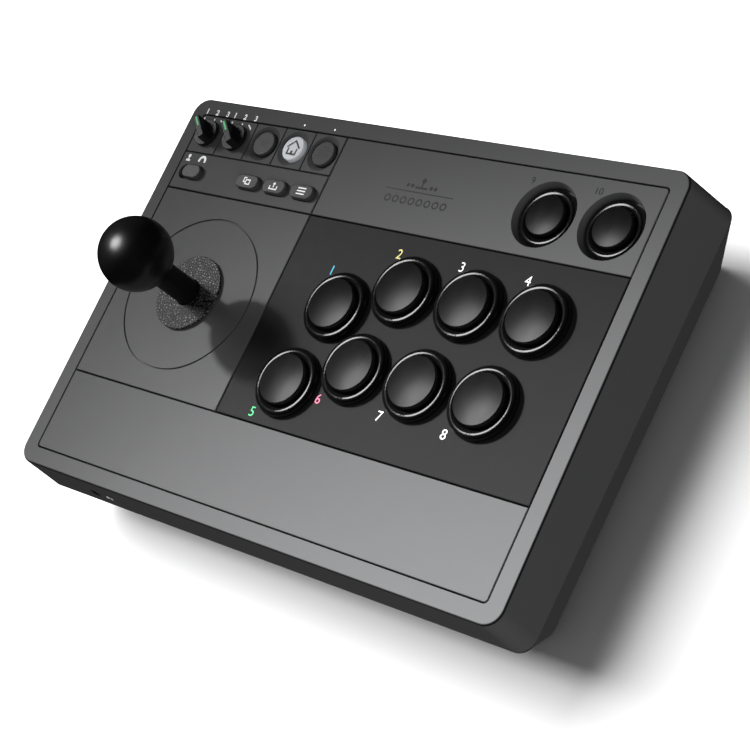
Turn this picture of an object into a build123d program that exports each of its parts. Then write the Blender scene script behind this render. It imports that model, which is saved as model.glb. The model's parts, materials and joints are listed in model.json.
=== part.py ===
from build123d import *
from dataclasses import dataclass
from math import cos, radians, sin, tan
import os

# Arcade joystick panel: a wedge-shaped case with a lever on the left and eight push buttons on the right.
# Millimetres. +X is to the player's right, +Y to the back, +Z up. The origin is under the middle of the
# case, on the surface that the feet stand on.
# Two frames are used. The case frame is the row's own. The panel frame lies in the sloping top face, with
# its origin at the middle of that face and its Z along the face's outward normal. Heights called "low" and
# "high" are along Z of the frame that the piece is made in.

# ---------------------------------------------------------------- case
CASE_LENGTH = 300.5          # widest outline, at the seam
CASE_WIDTH = 206.0
SEAM_HEIGHT = 29.1
SEAM_GAP = 0.4
PANEL_HEIGHT = 58.8          # middle of the top face above the ground
PANEL_SLOPE = 2.25           # degrees, back edge higher
PANEL_SHIFT = -1.4           # middle of the top face, forward of the middle of the seam
SIDE_LEAN = 1.95             # how far each end wall leans in from the seam up to the top face
FRONT_LEAN = 2.4             # the same for the front and back walls
FLOOR_INSET = 12.0           # how far the lower shell tapers in at each side
FOOT_HEIGHT = 3.5
CORNER_RADIUS = 8.5
WALL = 2.5
RIM_EDGE_RADIUS = 1.0
LIP_HEIGHT = 1.6
LIP_THICKNESS = 1.1
LIP_CLEARANCE = 0.2
LIP_ROOT_LOW = SEAM_HEIGHT - 6.0
LIP_ROOT_TOP = SEAM_HEIGHT - 2.0
BOTTOM_EDGE_RADIUS = 1.0
TOP_LENGTH = CASE_LENGTH - 2 * SIDE_LEAN
TOP_WIDTH = CASE_WIDTH - 2 * FRONT_LEAN
HALF_LENGTH = CASE_LENGTH / 2
HALF_WIDTH = CASE_WIDTH / 2

# ---------------------------------------------------------------- top layers, down from the top face
PANEL_THICKNESS = 2.6
DECK_THICKNESS = 3.0
PLATE_THICKNESS = 2.0
JOYSTICK_PLATE_THICKNESS = 1.6
DECK_TOP = -PANEL_THICKNESS
DECK_LOW = DECK_TOP - DECK_THICKNESS
PLATE_LOW = DECK_LOW - PLATE_THICKNESS
JOYSTICK_PLATE_LOW = PLATE_LOW - JOYSTICK_PLATE_THICKNESS

# ---------------------------------------------------------------- panels in the recess of the top face
RIM_WIDTH = 8.2
PANEL_GAP = 0.8
RECESS_RADIUS = 2.4
PANEL_CHAMFER = 0.25
RECESS_X = TOP_LENGTH / 2 - RIM_WIDTH
RECESS_Y = TOP_WIDTH / 2 - RIM_WIDTH
SPLIT_X = -40.6              # joint between the left-hand and the right-hand panels
SPLIT_BACK = 50.8            # joint behind the joystick and button panels
SPLIT_FRONT = -50.8          # joint in front of them
CELL_DEPTH = 21.3            # row of five cells along the back edge, above a lower strip
CELL_COUNT = 5
CELL_ROW_FRONT = RECESS_Y - CELL_DEPTH
GROOVE_WIDTH = 0.9
GROOVE_DEPTH = 1.2

# ---------------------------------------------------------------- lever
LEVER_X = -90.6
LEVER_Y = 0.0
PIVOT_DEPTH = 16.0
RING_RADIUS = 39.25
RING_WIDTH = 0.9
RING_DEPTH = 0.6
BALL_RADIUS = 17.5
BALL_HEIGHT = 40.2
COVER_RADIUS = 6.4
SHAFT_RADIUS = 4.75
TIP_RADIUS = 4.0
STUD_RADIUS = 3.0
PIVOT_RADIUS = 9.0
PIN_RADIUS = 1.5
PIN_HALF_LENGTH = 12.0
RUNNING_CLEARANCE = 0.05
MOVING_CLEARANCE = 0.3
LEVER_TILT = 9.0             # degrees each way on each of its two axes
LEVER_HOLE_RADIUS = 12.0
WASHER_RADIUS = 19.0
WASHER_THICKNESS = 1.1
SLIP_WASHER_RADIUS = 17.5
SLIP_WASHER_THICKNESS = 0.3
WASHER_GAP = 0.05
JOYSTICK_BODY_SIZE = 56.0
JOYSTICK_WALL = 2.5
JOYSTICK_FLANGE = 2.6
SOCKET_OUTER_RADIUS = 13.0
BOARD_THICKNESS = 1.6
PLATE_WIDTH = 96.0
PLATE_EDGE = 4.0             # between the recess and the edge of the plate under the deck

# ---------------------------------------------------------------- fasteners
SCREW_RADIUS = 1.25
SCREW_LENGTH = 5.0
SCREW_HEAD_RADIUS = 2.75
SCREW_HEAD_HEIGHT = 1.8
SCREW_HOLE_RADIUS = 1.7
CASE_SCREW_LENGTH = 16.0
POST_RADIUS = 4.5
COUNTERBORE_RADIUS = 3.3
CASE_SCREW_SEAT = SEAM_HEIGHT - 7.1
CROSS_LENGTH = 3.4           # cross recess in a screw head
CROSS_WIDTH = 0.8
CROSS_DEPTH = 0.8
STANDOFF_RADIUS = 3.0
CORNER_POST_X = HALF_LENGTH - 25.25
FRONT_POST_Y = -HALF_WIDTH + 27.0
SIDE_POST_X = HALF_LENGTH - 19.25
BACK_POST_Y = HALF_WIDTH - 21.0
CASE_POSTS = [
    (-CORNER_POST_X, FRONT_POST_Y),
    (0.0, FRONT_POST_Y),
    (CORNER_POST_X, FRONT_POST_Y),
    (-SIDE_POST_X, 0.0),
    (SIDE_POST_X, 0.0),
    (-SIDE_POST_X, 44.0),
    (-28.0, BACK_POST_Y),
    (62.0, BACK_POST_Y),
]

# ---------------------------------------------------------------- push buttons
BUTTON_PITCH = 36.0
BUTTON_TRAVEL = 2.2
PLUNGER_CLEARANCE = 0.3
HOLE_CLEARANCE = 0.25
BARREL_WALL = 1.4
BARREL_DEPTH = 17.0
BARREL_FLOOR = 1.6
SHOULDER_DEPTH = 4.0
FLANGE_EDGE = 0.8
SWITCH_LENGTH = 12.8
SWITCH_WIDTH = 5.8
SWITCH_HEIGHT = 6.0
POST_PIN_RADIUS = 1.4
WELL_CLEARANCE = 0.5
TERMINAL_LENGTH = 6.0
TERMINAL_SPREAD = 4.0
TERMINAL_THICKNESS = 0.8
TERMINAL_WIDTH = 3.0
CATCH_HALF_LENGTH = 3.0
CATCH_REACH = 0.8
LARGE_BARREL_RADIUS = 14.75  # fits a hole of 30 mm
SMALL_BARREL_RADIUS = 11.75  # fits a hole of 24 mm


@dataclass
class ButtonSize:
    """Radii and heights of one size of button, above the seat of its flange."""

    barrel: float
    flange: float
    ridge: float
    plunger: float
    ridge_height: float
    top: float
    dome: float


LARGE = ButtonSize(
    barrel=LARGE_BARREL_RADIUS,
    flange=LARGE_BARREL_RADIUS + 2.1,
    ridge=LARGE_BARREL_RADIUS - 0.3,
    plunger=LARGE_BARREL_RADIUS - 2.75,
    ridge_height=3.2,
    top=5.3,
    dome=0.9,
)
SMALL = ButtonSize(
    barrel=SMALL_BARREL_RADIUS,
    flange=SMALL_BARREL_RADIUS + 2.15,
    ridge=SMALL_BARREL_RADIUS + 0.25,
    plunger=SMALL_BARREL_RADIUS - 2.35,
    ridge_height=3.0,
    top=4.8,
    dome=0.7,
)

# Centres of the eight large buttons. Three of each row of four stand in a straight run, and the button on
# the left of each run stands lower, under the thumb or the first finger.
BACK_RUN = (33.0, 24.0)
FRONT_RUN = (26.0, -15.3)
LARGE_BUTTONS = [(0.0, 10.0)]
LARGE_BUTTONS += [(BACK_RUN[0] + BUTTON_PITCH * n, BACK_RUN[1]) for n in range(3)]
LARGE_BUTTONS += [(-7.0, -29.0)]
LARGE_BUTTONS += [(FRONT_RUN[0] + BUTTON_PITCH * n, FRONT_RUN[1]) for n in range(3)]

# ---------------------------------------------------------------- recessed small buttons, back right
SMALL_BUTTON_PITCH = 34.9
SMALL_BUTTON_EDGE = 20.0     # from the end of the recess to the outer one
SMALL_BUTTON_Y = SPLIT_BACK + 20.3
SMALL_BUTTONS = [(RECESS_X - SMALL_BUTTON_EDGE - SMALL_BUTTON_PITCH * n, SMALL_BUTTON_Y) for n in (1, 0)]
DISH_RADIUS = 15.75
DISH_FLOOR_RADIUS = 14.6
DISH_DEPTH = 5.2
DISH_WALL = 1.3
DISH_FLOOR = 2.0

# ---------------------------------------------------------------- controls, back left
CONTROL_TRAVEL = 0.8
CONTROL_CLEARANCE = 0.3
ROUND_CAP_RADIUS = 6.4
ROUND_CAP_TOP = 0.3
ROUND_DISH_RADIUS = 9.3
ROUND_DISH_DEPTH = 1.8
PILL_LENGTH = 14.6
PILL_WIDTH = 7.3
PILL_TOP = 2.2
PILL_PITCH = 18.2
PILL_Y = SPLIT_BACK + 9.5
PILL_X = [SPLIT_X - 10.2 - PILL_PITCH * n for n in (2, 1, 0)]
CAP_FLANGE = 1.2
CAP_FLANGE_THICKNESS = 1.0
CONTROL_BOARD_TOP = -12.5
TACT_SIZE = 6.0
TACT_HEIGHT = 3.5
TACT_POST_RADIUS = 1.2
KNOB_RADIUS = 7.0
KNOB_BASE = 2.3
KNOB_TOP = 8.0
KNOB_FIN_WIDTH = 3.6
KNOB_ANGLE = 135.0
KNOB_STEM_RADIUS = 3.0
ROTARY_SIZE = 12.0
ROTARY_HEIGHT = 5.5
SLIDE_X = -RECESS_X + 11.35
SLIDE_SLOT = 16.7
SLIDE_KNOB_LENGTH = 12.3
SLIDE_STEM_LENGTH = 3.0
SLIDE_STEM_WIDTH = 2.0
LIGHT_Y = RECESS_Y + 2.1
LIGHT_RADIUS = 0.5
LAMP_HEIGHT = 0.8
SWITCH_FLOOR = 1.6
SLIDE_BODY_LENGTH = 16.0
SLIDE_BODY_WIDTH = 6.4
SLIDE_BODY_HEIGHT = 4.0

# ---------------------------------------------------------------- inside the case
FLOOR_THICKNESS = 2.5
BALLAST_THICKNESS = 2.5
BALLAST_LIFT = 4.0
MAIN_BOARD_HEIGHT = SEAM_HEIGHT + 2.9
MAIN_BOARD = (-18.0, 50.0, HALF_WIDTH - 53.0, HALF_WIDTH - 10.0)
USB_X = 16.0
USB_LENGTH = 8.9
USB_HEIGHT = 3.2
USB_DEPTH = 8.0
USB_SHELL = 0.3
USB_TONGUE_HALF_WIDTH = 3.2
USB_TONGUE_HALF_HEIGHT = 0.35
USB_POCKET_LENGTH = 12.6
USB_POCKET_HEIGHT = 6.8
USB_POCKET_DEPTH = 0.7
JACK_X = -104.0
JACK_HEIGHT = SEAM_HEIGHT + 10.9
JACK_HALF_WIDTH = 4.0
JACK_HALF_HEIGHT = 3.5
JACK_BORE_RADIUS = 1.8
JACK_BORE_LENGTH = 14.0
JACK_BARREL_RADIUS = 3.0
BATTERY_LENGTH = 70.0
BATTERY_WIDTH = 38.0
BATTERY_HEIGHT = 11.0
STRAP_THICKNESS = 1.0
STRAP_HALF_WIDTH = 8.0
STRAP_CLEARANCE = 0.3
STRAP_FOOT = 12.0
FOOT_RADIUS = 10.0
FOOT_X = HALF_LENGTH - 38.25
FOOT_Y = HALF_WIDTH - 33.0
FEET = [(x, y) for x in (-FOOT_X, FOOT_X) for y in (-FOOT_Y, FOOT_Y)]

FLOOR_TOP = FOOT_HEIGHT + FLOOR_THICKNESS
BALLAST_LOW = FLOOR_TOP + BALLAST_LIFT
BALLAST_TOP = BALLAST_LOW + BALLAST_THICKNESS
PANEL = Location((0, PANEL_SHIFT, PANEL_HEIGHT), (PANEL_SLOPE, 0, 0))


# ---------------------------------------------------------------- shapes used many times
def disc(radius, low, high, x=0.0, y=0.0):
    """Upright cylinder between two heights."""
    return Pos(x, y, low) * Cylinder(radius, high - low, align=(Align.CENTER, Align.CENTER, Align.MIN))


def ring(outer, inner, low, high, x=0.0, y=0.0):
    return disc(outer, low, high, x, y) - disc(inner, low, high, x, y)


def block(x_low, x_high, y_low, y_high, low, high):
    """Box given by its limits on the three axes."""
    size = Box(x_high - x_low, y_high - y_low, high - low, align=(Align.MIN, Align.MIN, Align.MIN))
    return Pos(x_low, y_low, low) * size


def centred_block(length, width, low, high, x=0.0, y=0.0):
    return block(x - length / 2, x + length / 2, y - width / 2, y + width / 2, low, high)


def rounded_block(length, width, radius, low, high, x=0.0, y=0.0):
    return Pos(x, y, low) * extrude(RectangleRounded(length, width, radius), amount=high - low)


def pill(length, width, low, high, x=0.0, y=0.0):
    """Block with two half-round ends."""
    return Pos(x, y, low) * extrude(SlotOverall(length, width), amount=high - low)


def cone(low_radius, high_radius, low, high, x=0.0, y=0.0):
    body = Cone(low_radius, high_radius, high - low, align=(Align.CENTER, Align.CENTER, Align.MIN))
    return Pos(x, y, low) * body


def joined(pieces):
    """One shape out of several, as one solid where they touch."""
    total = pieces[0]
    for piece in pieces[1:]:
        total = total + piece
    return total


def cut(body, tools):
    for tool in tools:
        body = body - tool
    return body


def write(name, solids, place=Location()):
    """Writes one node, as a group of separate solids when it has several."""
    group = [place * solid for solid in solids]
    shape = group[0] if len(group) == 1 else Compound(children=group)
    export_step(shape, "parts/" + name + ".step")


def panel_point(x, y, z):
    """Case frame position of a point of the panel frame."""
    slope = radians(PANEL_SLOPE)
    return (
        x,
        PANEL_SHIFT + y * cos(slope) - z * sin(slope),
        PANEL_HEIGHT + y * sin(slope) + z * cos(slope),
    )


def panel_place(x, y):
    """Panel frame position above a point of the case's floor plan, at the height of the deck."""
    slope = radians(PANEL_SLOPE)
    return (x, (y - PANEL_SHIFT + DECK_LOW * sin(slope)) / cos(slope))


# ---------------------------------------------------------------- case shells
def drafted_block(side, low, low_half, high, high_half, radius):
    """Block with a side outline in YZ, two sides that lean in X, and rounded upright corners."""
    front = [(-low_half, low), (low_half, low), (high_half, high), (-high_half, high)]
    along = extrude(Plane.YZ * make_face(Polyline(*side, close=True)), amount=CASE_LENGTH, both=True)
    across = extrude(Plane.XZ * make_face(Polyline(*front, close=True)), amount=CASE_WIDTH, both=True)
    body = along & across
    rise = side[3][1] - side[0][1]
    corners = [edge for edge in body.edges() if edge.bounding_box().size.Z > 0.8 * rise]
    return fillet(corners, radius)


def upper_block(inset, low):
    """Outer form of the top housing, moved in by inset, from a low level up to the top face."""
    half = HALF_WIDTH
    _, front_y, front_z = panel_point(0, -TOP_WIDTH / 2, 0)
    _, back_y, back_z = panel_point(0, TOP_WIDTH / 2, 0)
    front_lean = (front_y + half) / (front_z - SEAM_HEIGHT)
    back_lean = (half - back_y) / (back_z - SEAM_HEIGHT)
    side_lean = SIDE_LEAN / (PANEL_HEIGHT - SEAM_HEIGHT)
    drop = SEAM_HEIGHT - low
    side = [
        (-half + inset - front_lean * drop, low),
        (half - inset + back_lean * drop, low),
        (back_y - inset, back_z),
        (front_y + inset, front_z),
    ]
    low_half = HALF_LENGTH - inset + side_lean * drop
    high_half = HALF_LENGTH - inset - side_lean * (back_z - SEAM_HEIGHT)
    return drafted_block(side, low, low_half, back_z, high_half, CORNER_RADIUS - inset)


def lower_block(inset, low, high):
    """Outer form of the bottom cover, moved in by inset, between two levels."""
    lean = FLOOR_INSET / (SEAM_HEIGHT - FOOT_HEIGHT)
    low_in = inset + lean * (SEAM_HEIGHT - low)
    high_in = inset + lean * (SEAM_HEIGHT - high)
    low_y = HALF_WIDTH - low_in
    high_y = HALF_WIDTH - high_in
    side = [(-low_y, low), (low_y, low), (high_y, high), (-high_y, high)]
    radius = CORNER_RADIUS - inset
    return drafted_block(side, low, HALF_LENGTH - low_in, high, HALF_LENGTH - high_in, radius)


def above_deck(clear):
    """Everything above the deck's underside, to cut the case's cavity off there."""
    return PANEL * block(-CASE_LENGTH, CASE_LENGTH, -CASE_WIDTH, CASE_WIDTH, DECK_LOW, DECK_LOW + clear)


def opening_tools(low, high, extra):
    """Cuts for everything that passes through the deck, each a little wider by extra."""
    tools = [disc(LARGE.barrel + HOLE_CLEARANCE + extra, low, high, x, y) for x, y in LARGE_BUTTONS]
    tools.append(disc(LEVER_HOLE_RADIUS + extra, low, high, LEVER_X, LEVER_Y))
    return tools


def cell_x(index):
    width = (SPLIT_X + RECESS_X) / CELL_COUNT
    return -RECESS_X + width * (index + 0.5)


def cell_edge(index):
    """Groove between one cell and the next."""
    return (cell_x(index) + cell_x(index + 1)) / 2


CELL_Y = (CELL_ROW_FRONT + RECESS_Y) / 2
KNOB_X = [cell_x(0), cell_x(1)]
ROUND_X = [cell_x(2), cell_x(3), cell_x(4)]
LIGHT_X = [cell_x(3), cell_x(4)]
STANDOFFS = [
    (cell_edge(0), RECESS_Y - 1.6),
    (cell_edge(0), CELL_ROW_FRONT - 1.7),
    (cell_edge(3), RECESS_Y - 0.2),
    (cell_edge(3), CELL_ROW_FRONT - 1.7),
]
SLIDE_TRAVEL = SLIDE_SLOT - SLIDE_KNOB_LENGTH - 2 * CONTROL_CLEARANCE
SLIDE_REST_X = SLIDE_X + SLIDE_TRAVEL / 2
JOYSTICK_PLATE_SIZE = (JOYSTICK_BODY_SIZE - 3.0, JOYSTICK_BODY_SIZE + 39.0)
BODY_SCREW_OFFSET = JOYSTICK_BODY_SIZE / 2 - 6.5
JOYSTICK_SCREW_X = JOYSTICK_PLATE_SIZE[0] / 2 - 6.5
JOYSTICK_SCREW_Y = JOYSTICK_PLATE_SIZE[1] / 2 - 5.5


def four_round_lever(x_offset, y_offset):
    """Four points placed evenly round the lever's axis."""
    return [(LEVER_X + x, LEVER_Y + y) for x in (-x_offset, x_offset) for y in (-y_offset, y_offset)]


JOYSTICK_SCREWS = four_round_lever(JOYSTICK_SCREW_X, JOYSTICK_SCREW_Y)
BODY_SCREWS = four_round_lever(BODY_SCREW_OFFSET, BODY_SCREW_OFFSET)
PLATE_SCREW_X = RECESS_X - 12.1
PLATE_SCREW_Y = PLATE_WIDTH / 2 - 4.0
PLATE_SCREWS = [
    (-PLATE_SCREW_X, -PLATE_SCREW_Y + 2.0),
    (-PLATE_SCREW_X, 28.0),
    (SPLIT_X - 3.4, -PLATE_SCREW_Y),
    (SPLIT_X + 10.6, PLATE_SCREW_Y - 2.0),
    (PLATE_SCREW_X - 2.0, PLATE_SCREW_Y),
    (PLATE_SCREW_X - 2.0, -PLATE_SCREW_Y),
]


def control_tools(low, high):
    """Holes for the stems and caps of the controls at the back left."""
    tools = [disc(KNOB_STEM_RADIUS + CONTROL_CLEARANCE, low, high, x, CELL_Y) for x in KNOB_X]
    tools += [disc(ROUND_CAP_RADIUS + CONTROL_CLEARANCE, low, high, x, CELL_Y) for x in ROUND_X]
    slot = 2 * CONTROL_CLEARANCE
    tools += [pill(PILL_LENGTH + slot, PILL_WIDTH + slot, low, high, x, PILL_Y) for x in PILL_X]
    return tools


def slide_stem_slot(low, high, room):
    length = SLIDE_STEM_LENGTH + SLIDE_TRAVEL + 2 * room
    return centred_block(length, SLIDE_STEM_WIDTH + 2 * room, low, high, SLIDE_X, PILL_Y)


def usb_tunnel(y_low, y_high, length, height):
    bore = Location((USB_X, y_low, MAIN_BOARD_HEIGHT + BOARD_THICKNESS + USB_HEIGHT / 2), (-90, 0, 0))
    return bore * extrude(SlotOverall(length, height), amount=y_high - y_low)


def jack_cylinder(radius, y_low, y_high):
    return Location((JACK_X, y_low, JACK_HEIGHT), (-90, 0, 0)) * Cylinder(
        radius, y_high - y_low, align=(Align.CENTER, Align.CENTER, Align.MIN)
    )


def front_wall_y(height):
    """Outer face of the front wall of the top housing at a height."""
    _, front_y, front_z = panel_point(0, -TOP_WIDTH / 2, 0)
    share = (height - SEAM_HEIGHT) / (front_z - SEAM_HEIGHT)
    return -HALF_WIDTH + share * (front_y + HALF_WIDTH)


def back_wall_y(height):
    """Outer face of the back wall of the top housing at a height."""
    _, back_y, back_z = panel_point(0, TOP_WIDTH / 2, 0)
    share = (height - SEAM_HEIGHT) / (back_z - SEAM_HEIGHT)
    return HALF_WIDTH - share * (HALF_WIDTH - back_y)


def top_housing():
    body = upper_block(0, SEAM_HEIGHT + SEAM_GAP / 2)
    rim = [e for e in body.edges() if e.bounding_box().min.Z > panel_point(0, -TOP_WIDTH / 2, 0)[2] - 1]
    body = fillet(rim, RIM_EDGE_RADIUS)
    cavity = upper_block(WALL, SEAM_HEIGHT - WALL) - above_deck(CASE_WIDTH)
    body = body - cavity
    body = body - PANEL * rounded_block(2 * RECESS_X, 2 * RECESS_Y, RECESS_RADIUS, DECK_TOP, WALL)
    # The bosses hang from the deck down to the seam, where the bottom cover's posts meet them.
    for x, y in CASE_POSTS:
        px, py = panel_place(x, y)
        top = panel_point(px, py, DECK_LOW + DECK_THICKNESS / 2)[2]
        body = body + disc(POST_RADIUS, SEAM_HEIGHT, top, x, y)
    for x, y in STANDOFFS:
        body = body + PANEL * disc(STANDOFF_RADIUS, CONTROL_BOARD_TOP, DECK_LOW + DECK_THICKNESS / 2, x, y)
    pilot_end = CASE_SCREW_SEAT + CASE_SCREW_LENGTH + 1
    body = cut(body, [disc(SCREW_RADIUS, SEAM_HEIGHT - 1, pilot_end, x, y) for x, y in CASE_POSTS])
    low = DECK_LOW - 1
    high = DECK_TOP + 1
    tools = opening_tools(low, high, HOLE_CLEARANCE)
    tools += control_tools(low, high)
    tools.append(slide_stem_slot(low, high, WELL_CLEARANCE))
    dish_outer = DISH_RADIUS + DISH_WALL + MOVING_CLEARANCE
    tools += [disc(dish_outer, low, high, x, y) for x, y in SMALL_BUTTONS]
    tools += [disc(SCREW_HOLE_RADIUS, low, high, x, y) for x, y in JOYSTICK_SCREWS]
    tools += [disc(SCREW_RADIUS, low, high, x, y) for x, y in PLATE_SCREWS]
    tools += [disc(LIGHT_RADIUS, low, WALL, x, LIGHT_Y) for x in LIGHT_X]
    screw_end = CONTROL_BOARD_TOP - BOARD_THICKNESS + SCREW_LENGTH
    tools += [disc(SCREW_RADIUS, CONTROL_BOARD_TOP - 1, screw_end, x, y) for x, y in STANDOFFS]
    body = cut(body, [PANEL * tool for tool in tools])
    back = back_wall_y(MAIN_BOARD_HEIGHT)
    room = 2 * USB_SHELL
    body = body - usb_tunnel(back - 2 * WALL, back + WALL, USB_LENGTH + room, USB_HEIGHT + room)
    pocket_floor = back_wall_y(MAIN_BOARD_HEIGHT + USB_POCKET_HEIGHT + 1.2) - USB_POCKET_DEPTH
    body = body - usb_tunnel(pocket_floor, back + WALL, USB_POCKET_LENGTH, USB_POCKET_HEIGHT)
    front = front_wall_y(JACK_HEIGHT)
    return body - jack_cylinder(JACK_BARREL_RADIUS, front - WALL, front + 2 * WALL)


def main_board_posts():
    x_low, x_high, y_low, y_high = MAIN_BOARD
    edge = STANDOFF_RADIUS + 1.5
    return [(x, y) for x in (x_low + edge, x_high - edge) for y in (y_low + edge, y_high - edge)]


BALLAST_X = FOOT_X
BALLAST_FRONT = -HALF_WIDTH + 39.0
BALLAST_BACK = HALF_WIDTH - 61.0
BALLAST_SCREW_X = BALLAST_X - 8.0
BALLAST_SCREW_Y = [BALLAST_FRONT + 24.0, BALLAST_BACK - 8.0]
BALLAST_SCREWS = [(x, y) for x in (-BALLAST_SCREW_X, BALLAST_SCREW_X) for y in BALLAST_SCREW_Y]
BATTERY_X = 20.0
BATTERY_Y = BALLAST_FRONT + 26.0
BRACKET_SCREW_X = BATTERY_LENGTH / 2 + 8.0
BRACKET_SCREWS = [(BATTERY_X + x, BATTERY_Y) for x in (-BRACKET_SCREW_X, BRACKET_SCREW_X)]


def bottom_cover():
    body = lower_block(0, FOOT_HEIGHT, SEAM_HEIGHT - SEAM_GAP / 2)
    bottom_edges = body.edges().group_by(Axis.Z)[0]
    body = fillet(bottom_edges, BOTTOM_EDGE_RADIUS)
    cavity = lower_block(WALL, FLOOR_TOP, SEAM_HEIGHT)
    body = body - cavity
    # The lip stands inside the top housing's wall and lines the two shells up.
    lip_inset = WALL + LIP_CLEARANCE
    lip_top = SEAM_HEIGHT + LIP_HEIGHT
    lip = lower_block(lip_inset, LIP_ROOT_LOW, lip_top) & upper_block(lip_inset, LIP_ROOT_LOW - 1)
    lip = lip + lower_block(WALL / 2, LIP_ROOT_LOW, LIP_ROOT_TOP)
    body = body + (lip - lower_block(lip_inset + LIP_THICKNESS, LIP_ROOT_LOW - 1, lip_top + 1))
    posts = [disc(POST_RADIUS, FLOOR_TOP - 1, SEAM_HEIGHT, x, y) for x, y in CASE_POSTS]
    posts += [disc(STANDOFF_RADIUS, FLOOR_TOP - 1, MAIN_BOARD_HEIGHT, x, y) for x, y in main_board_posts()]
    posts += [disc(STANDOFF_RADIUS, FLOOR_TOP - 1, BALLAST_LOW, x, y) for x, y in BALLAST_SCREWS]
    body = body + joined(posts)
    tools = [disc(SCREW_HOLE_RADIUS, FOOT_HEIGHT - 1, SEAM_HEIGHT + 1, x, y) for x, y in CASE_POSTS]
    tools += [disc(COUNTERBORE_RADIUS, FOOT_HEIGHT - 1, CASE_SCREW_SEAT, x, y) for x, y in CASE_POSTS]
    board_pilot = MAIN_BOARD_HEIGHT + BOARD_THICKNESS - SCREW_LENGTH
    tools += [disc(SCREW_RADIUS, board_pilot, MAIN_BOARD_HEIGHT + 1, x, y) for x, y in main_board_posts()]
    ballast_pilot = BALLAST_TOP - SCREW_LENGTH
    tools += [disc(SCREW_RADIUS, ballast_pilot, BALLAST_LOW + 1, x, y) for x, y in BALLAST_SCREWS]
    tools += [disc(FOOT_RADIUS + LIP_CLEARANCE, FOOT_HEIGHT - 1, FOOT_HEIGHT + 1, x, y) for x, y in FEET]
    return cut(body, tools)


def rubber_foot(x, y):
    foot = disc(FOOT_RADIUS, 0, FOOT_HEIGHT + 1, x, y)
    foot = fillet(foot.edges().group_by(Axis.Z)[0], 0.8)
    return foot - disc(FOOT_RADIUS / 2, 0, 0.6, x, y)


def cross_recess(low, x, y):
    """Cross-shaped recess for a driver, from a low level up."""
    high = low + CROSS_DEPTH
    bar = centred_block(CROSS_LENGTH, CROSS_WIDTH, low, high, x, y)
    return bar + centred_block(CROSS_WIDTH, CROSS_LENGTH, low, high, x, y)


def case_screw(x, y):
    head_low = CASE_SCREW_SEAT - SCREW_HEAD_HEIGHT
    head = disc(SCREW_HEAD_RADIUS, head_low, CASE_SCREW_SEAT, x, y)
    shank = disc(SCREW_RADIUS, CASE_SCREW_SEAT, CASE_SCREW_SEAT + CASE_SCREW_LENGTH, x, y)
    return head + shank - cross_recess(head_low, x, y)


def board_screw(under_head, up, x, y):
    """Pan-head screw whose shank goes up, or down, from the face that its head sits on."""
    way = 1 if up else -1
    head_end = under_head - way * SCREW_HEAD_HEIGHT
    head = disc(SCREW_HEAD_RADIUS, min(under_head, head_end), max(under_head, head_end), x, y)
    tip = under_head + way * SCREW_LENGTH
    shank = disc(SCREW_RADIUS, min(under_head, tip), max(under_head, tip), x, y)
    recess_low = head_end if up else head_end - CROSS_DEPTH
    return head + shank - cross_recess(recess_low, x, y)


def board_screws():
    in_panel = [board_screw(JOYSTICK_PLATE_LOW, True, x, y) for x, y in JOYSTICK_SCREWS]
    in_panel += [board_screw(JOYSTICK_PLATE_LOW - JOYSTICK_FLANGE, True, x, y) for x, y in BODY_SCREWS]
    in_panel += [board_screw(PLATE_LOW, True, x, y) for x, y in PLATE_SCREWS]
    in_panel += [board_screw(CONTROL_BOARD_TOP - BOARD_THICKNESS, True, x, y) for x, y in STANDOFFS]
    in_case = [board_screw(MAIN_BOARD_HEIGHT + BOARD_THICKNESS, False, x, y) for x, y in main_board_posts()]
    in_case += [board_screw(BALLAST_TOP, False, x, y) for x, y in BALLAST_SCREWS]
    in_case += [board_screw(BALLAST_TOP + STRAP_THICKNESS, False, x, y) for x, y in BRACKET_SCREWS]
    return [PANEL * screw for screw in in_panel] + in_case


# ---------------------------------------------------------------- plates and panels
def panel_plate():
    """Steel plate under the deck that carries the lever and stiffens the button field."""
    length = 2 * (RECESS_X - PLATE_EDGE)
    body = rounded_block(length, PLATE_WIDTH, PLATE_EDGE, PLATE_LOW, DECK_LOW)
    tools = opening_tools(PLATE_LOW - 1, DECK_LOW + 1, 2 * HOLE_CLEARANCE)
    tools += [disc(SCREW_RADIUS, PLATE_LOW - 1, DECK_LOW + 1, x, y) for x, y in JOYSTICK_SCREWS]
    tools += [disc(SCREW_HOLE_RADIUS, PLATE_LOW - 1, DECK_LOW + 1, x, y) for x, y in BODY_SCREWS]
    tools += [disc(SCREW_HOLE_RADIUS, PLATE_LOW - 1, DECK_LOW + 1, x, y) for x, y in PLATE_SCREWS]
    for x, y in CASE_POSTS:
        px, py = panel_place(x, y)
        tools.append(disc(POST_RADIUS + 1.0, PLATE_LOW - 1, DECK_LOW + 1, px, py))
    return cut(body, tools)


def panel_blank(x_low, x_high, y_low, y_high):
    """One panel between the middles of the gaps round it, with its outer corners rounded to the recess."""
    half = PANEL_GAP / 2
    body = block(x_low + half, x_high - half, y_low + half, y_high - half, DECK_TOP, 0)
    field = (2 * (RECESS_X - PANEL_GAP), 2 * (RECESS_Y - PANEL_GAP), RECESS_RADIUS - PANEL_GAP)
    body = body & rounded_block(*field, DECK_TOP, 0)
    return chamfer(body.edges().group_by(Axis.Z)[-1], PANEL_CHAMFER)


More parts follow.
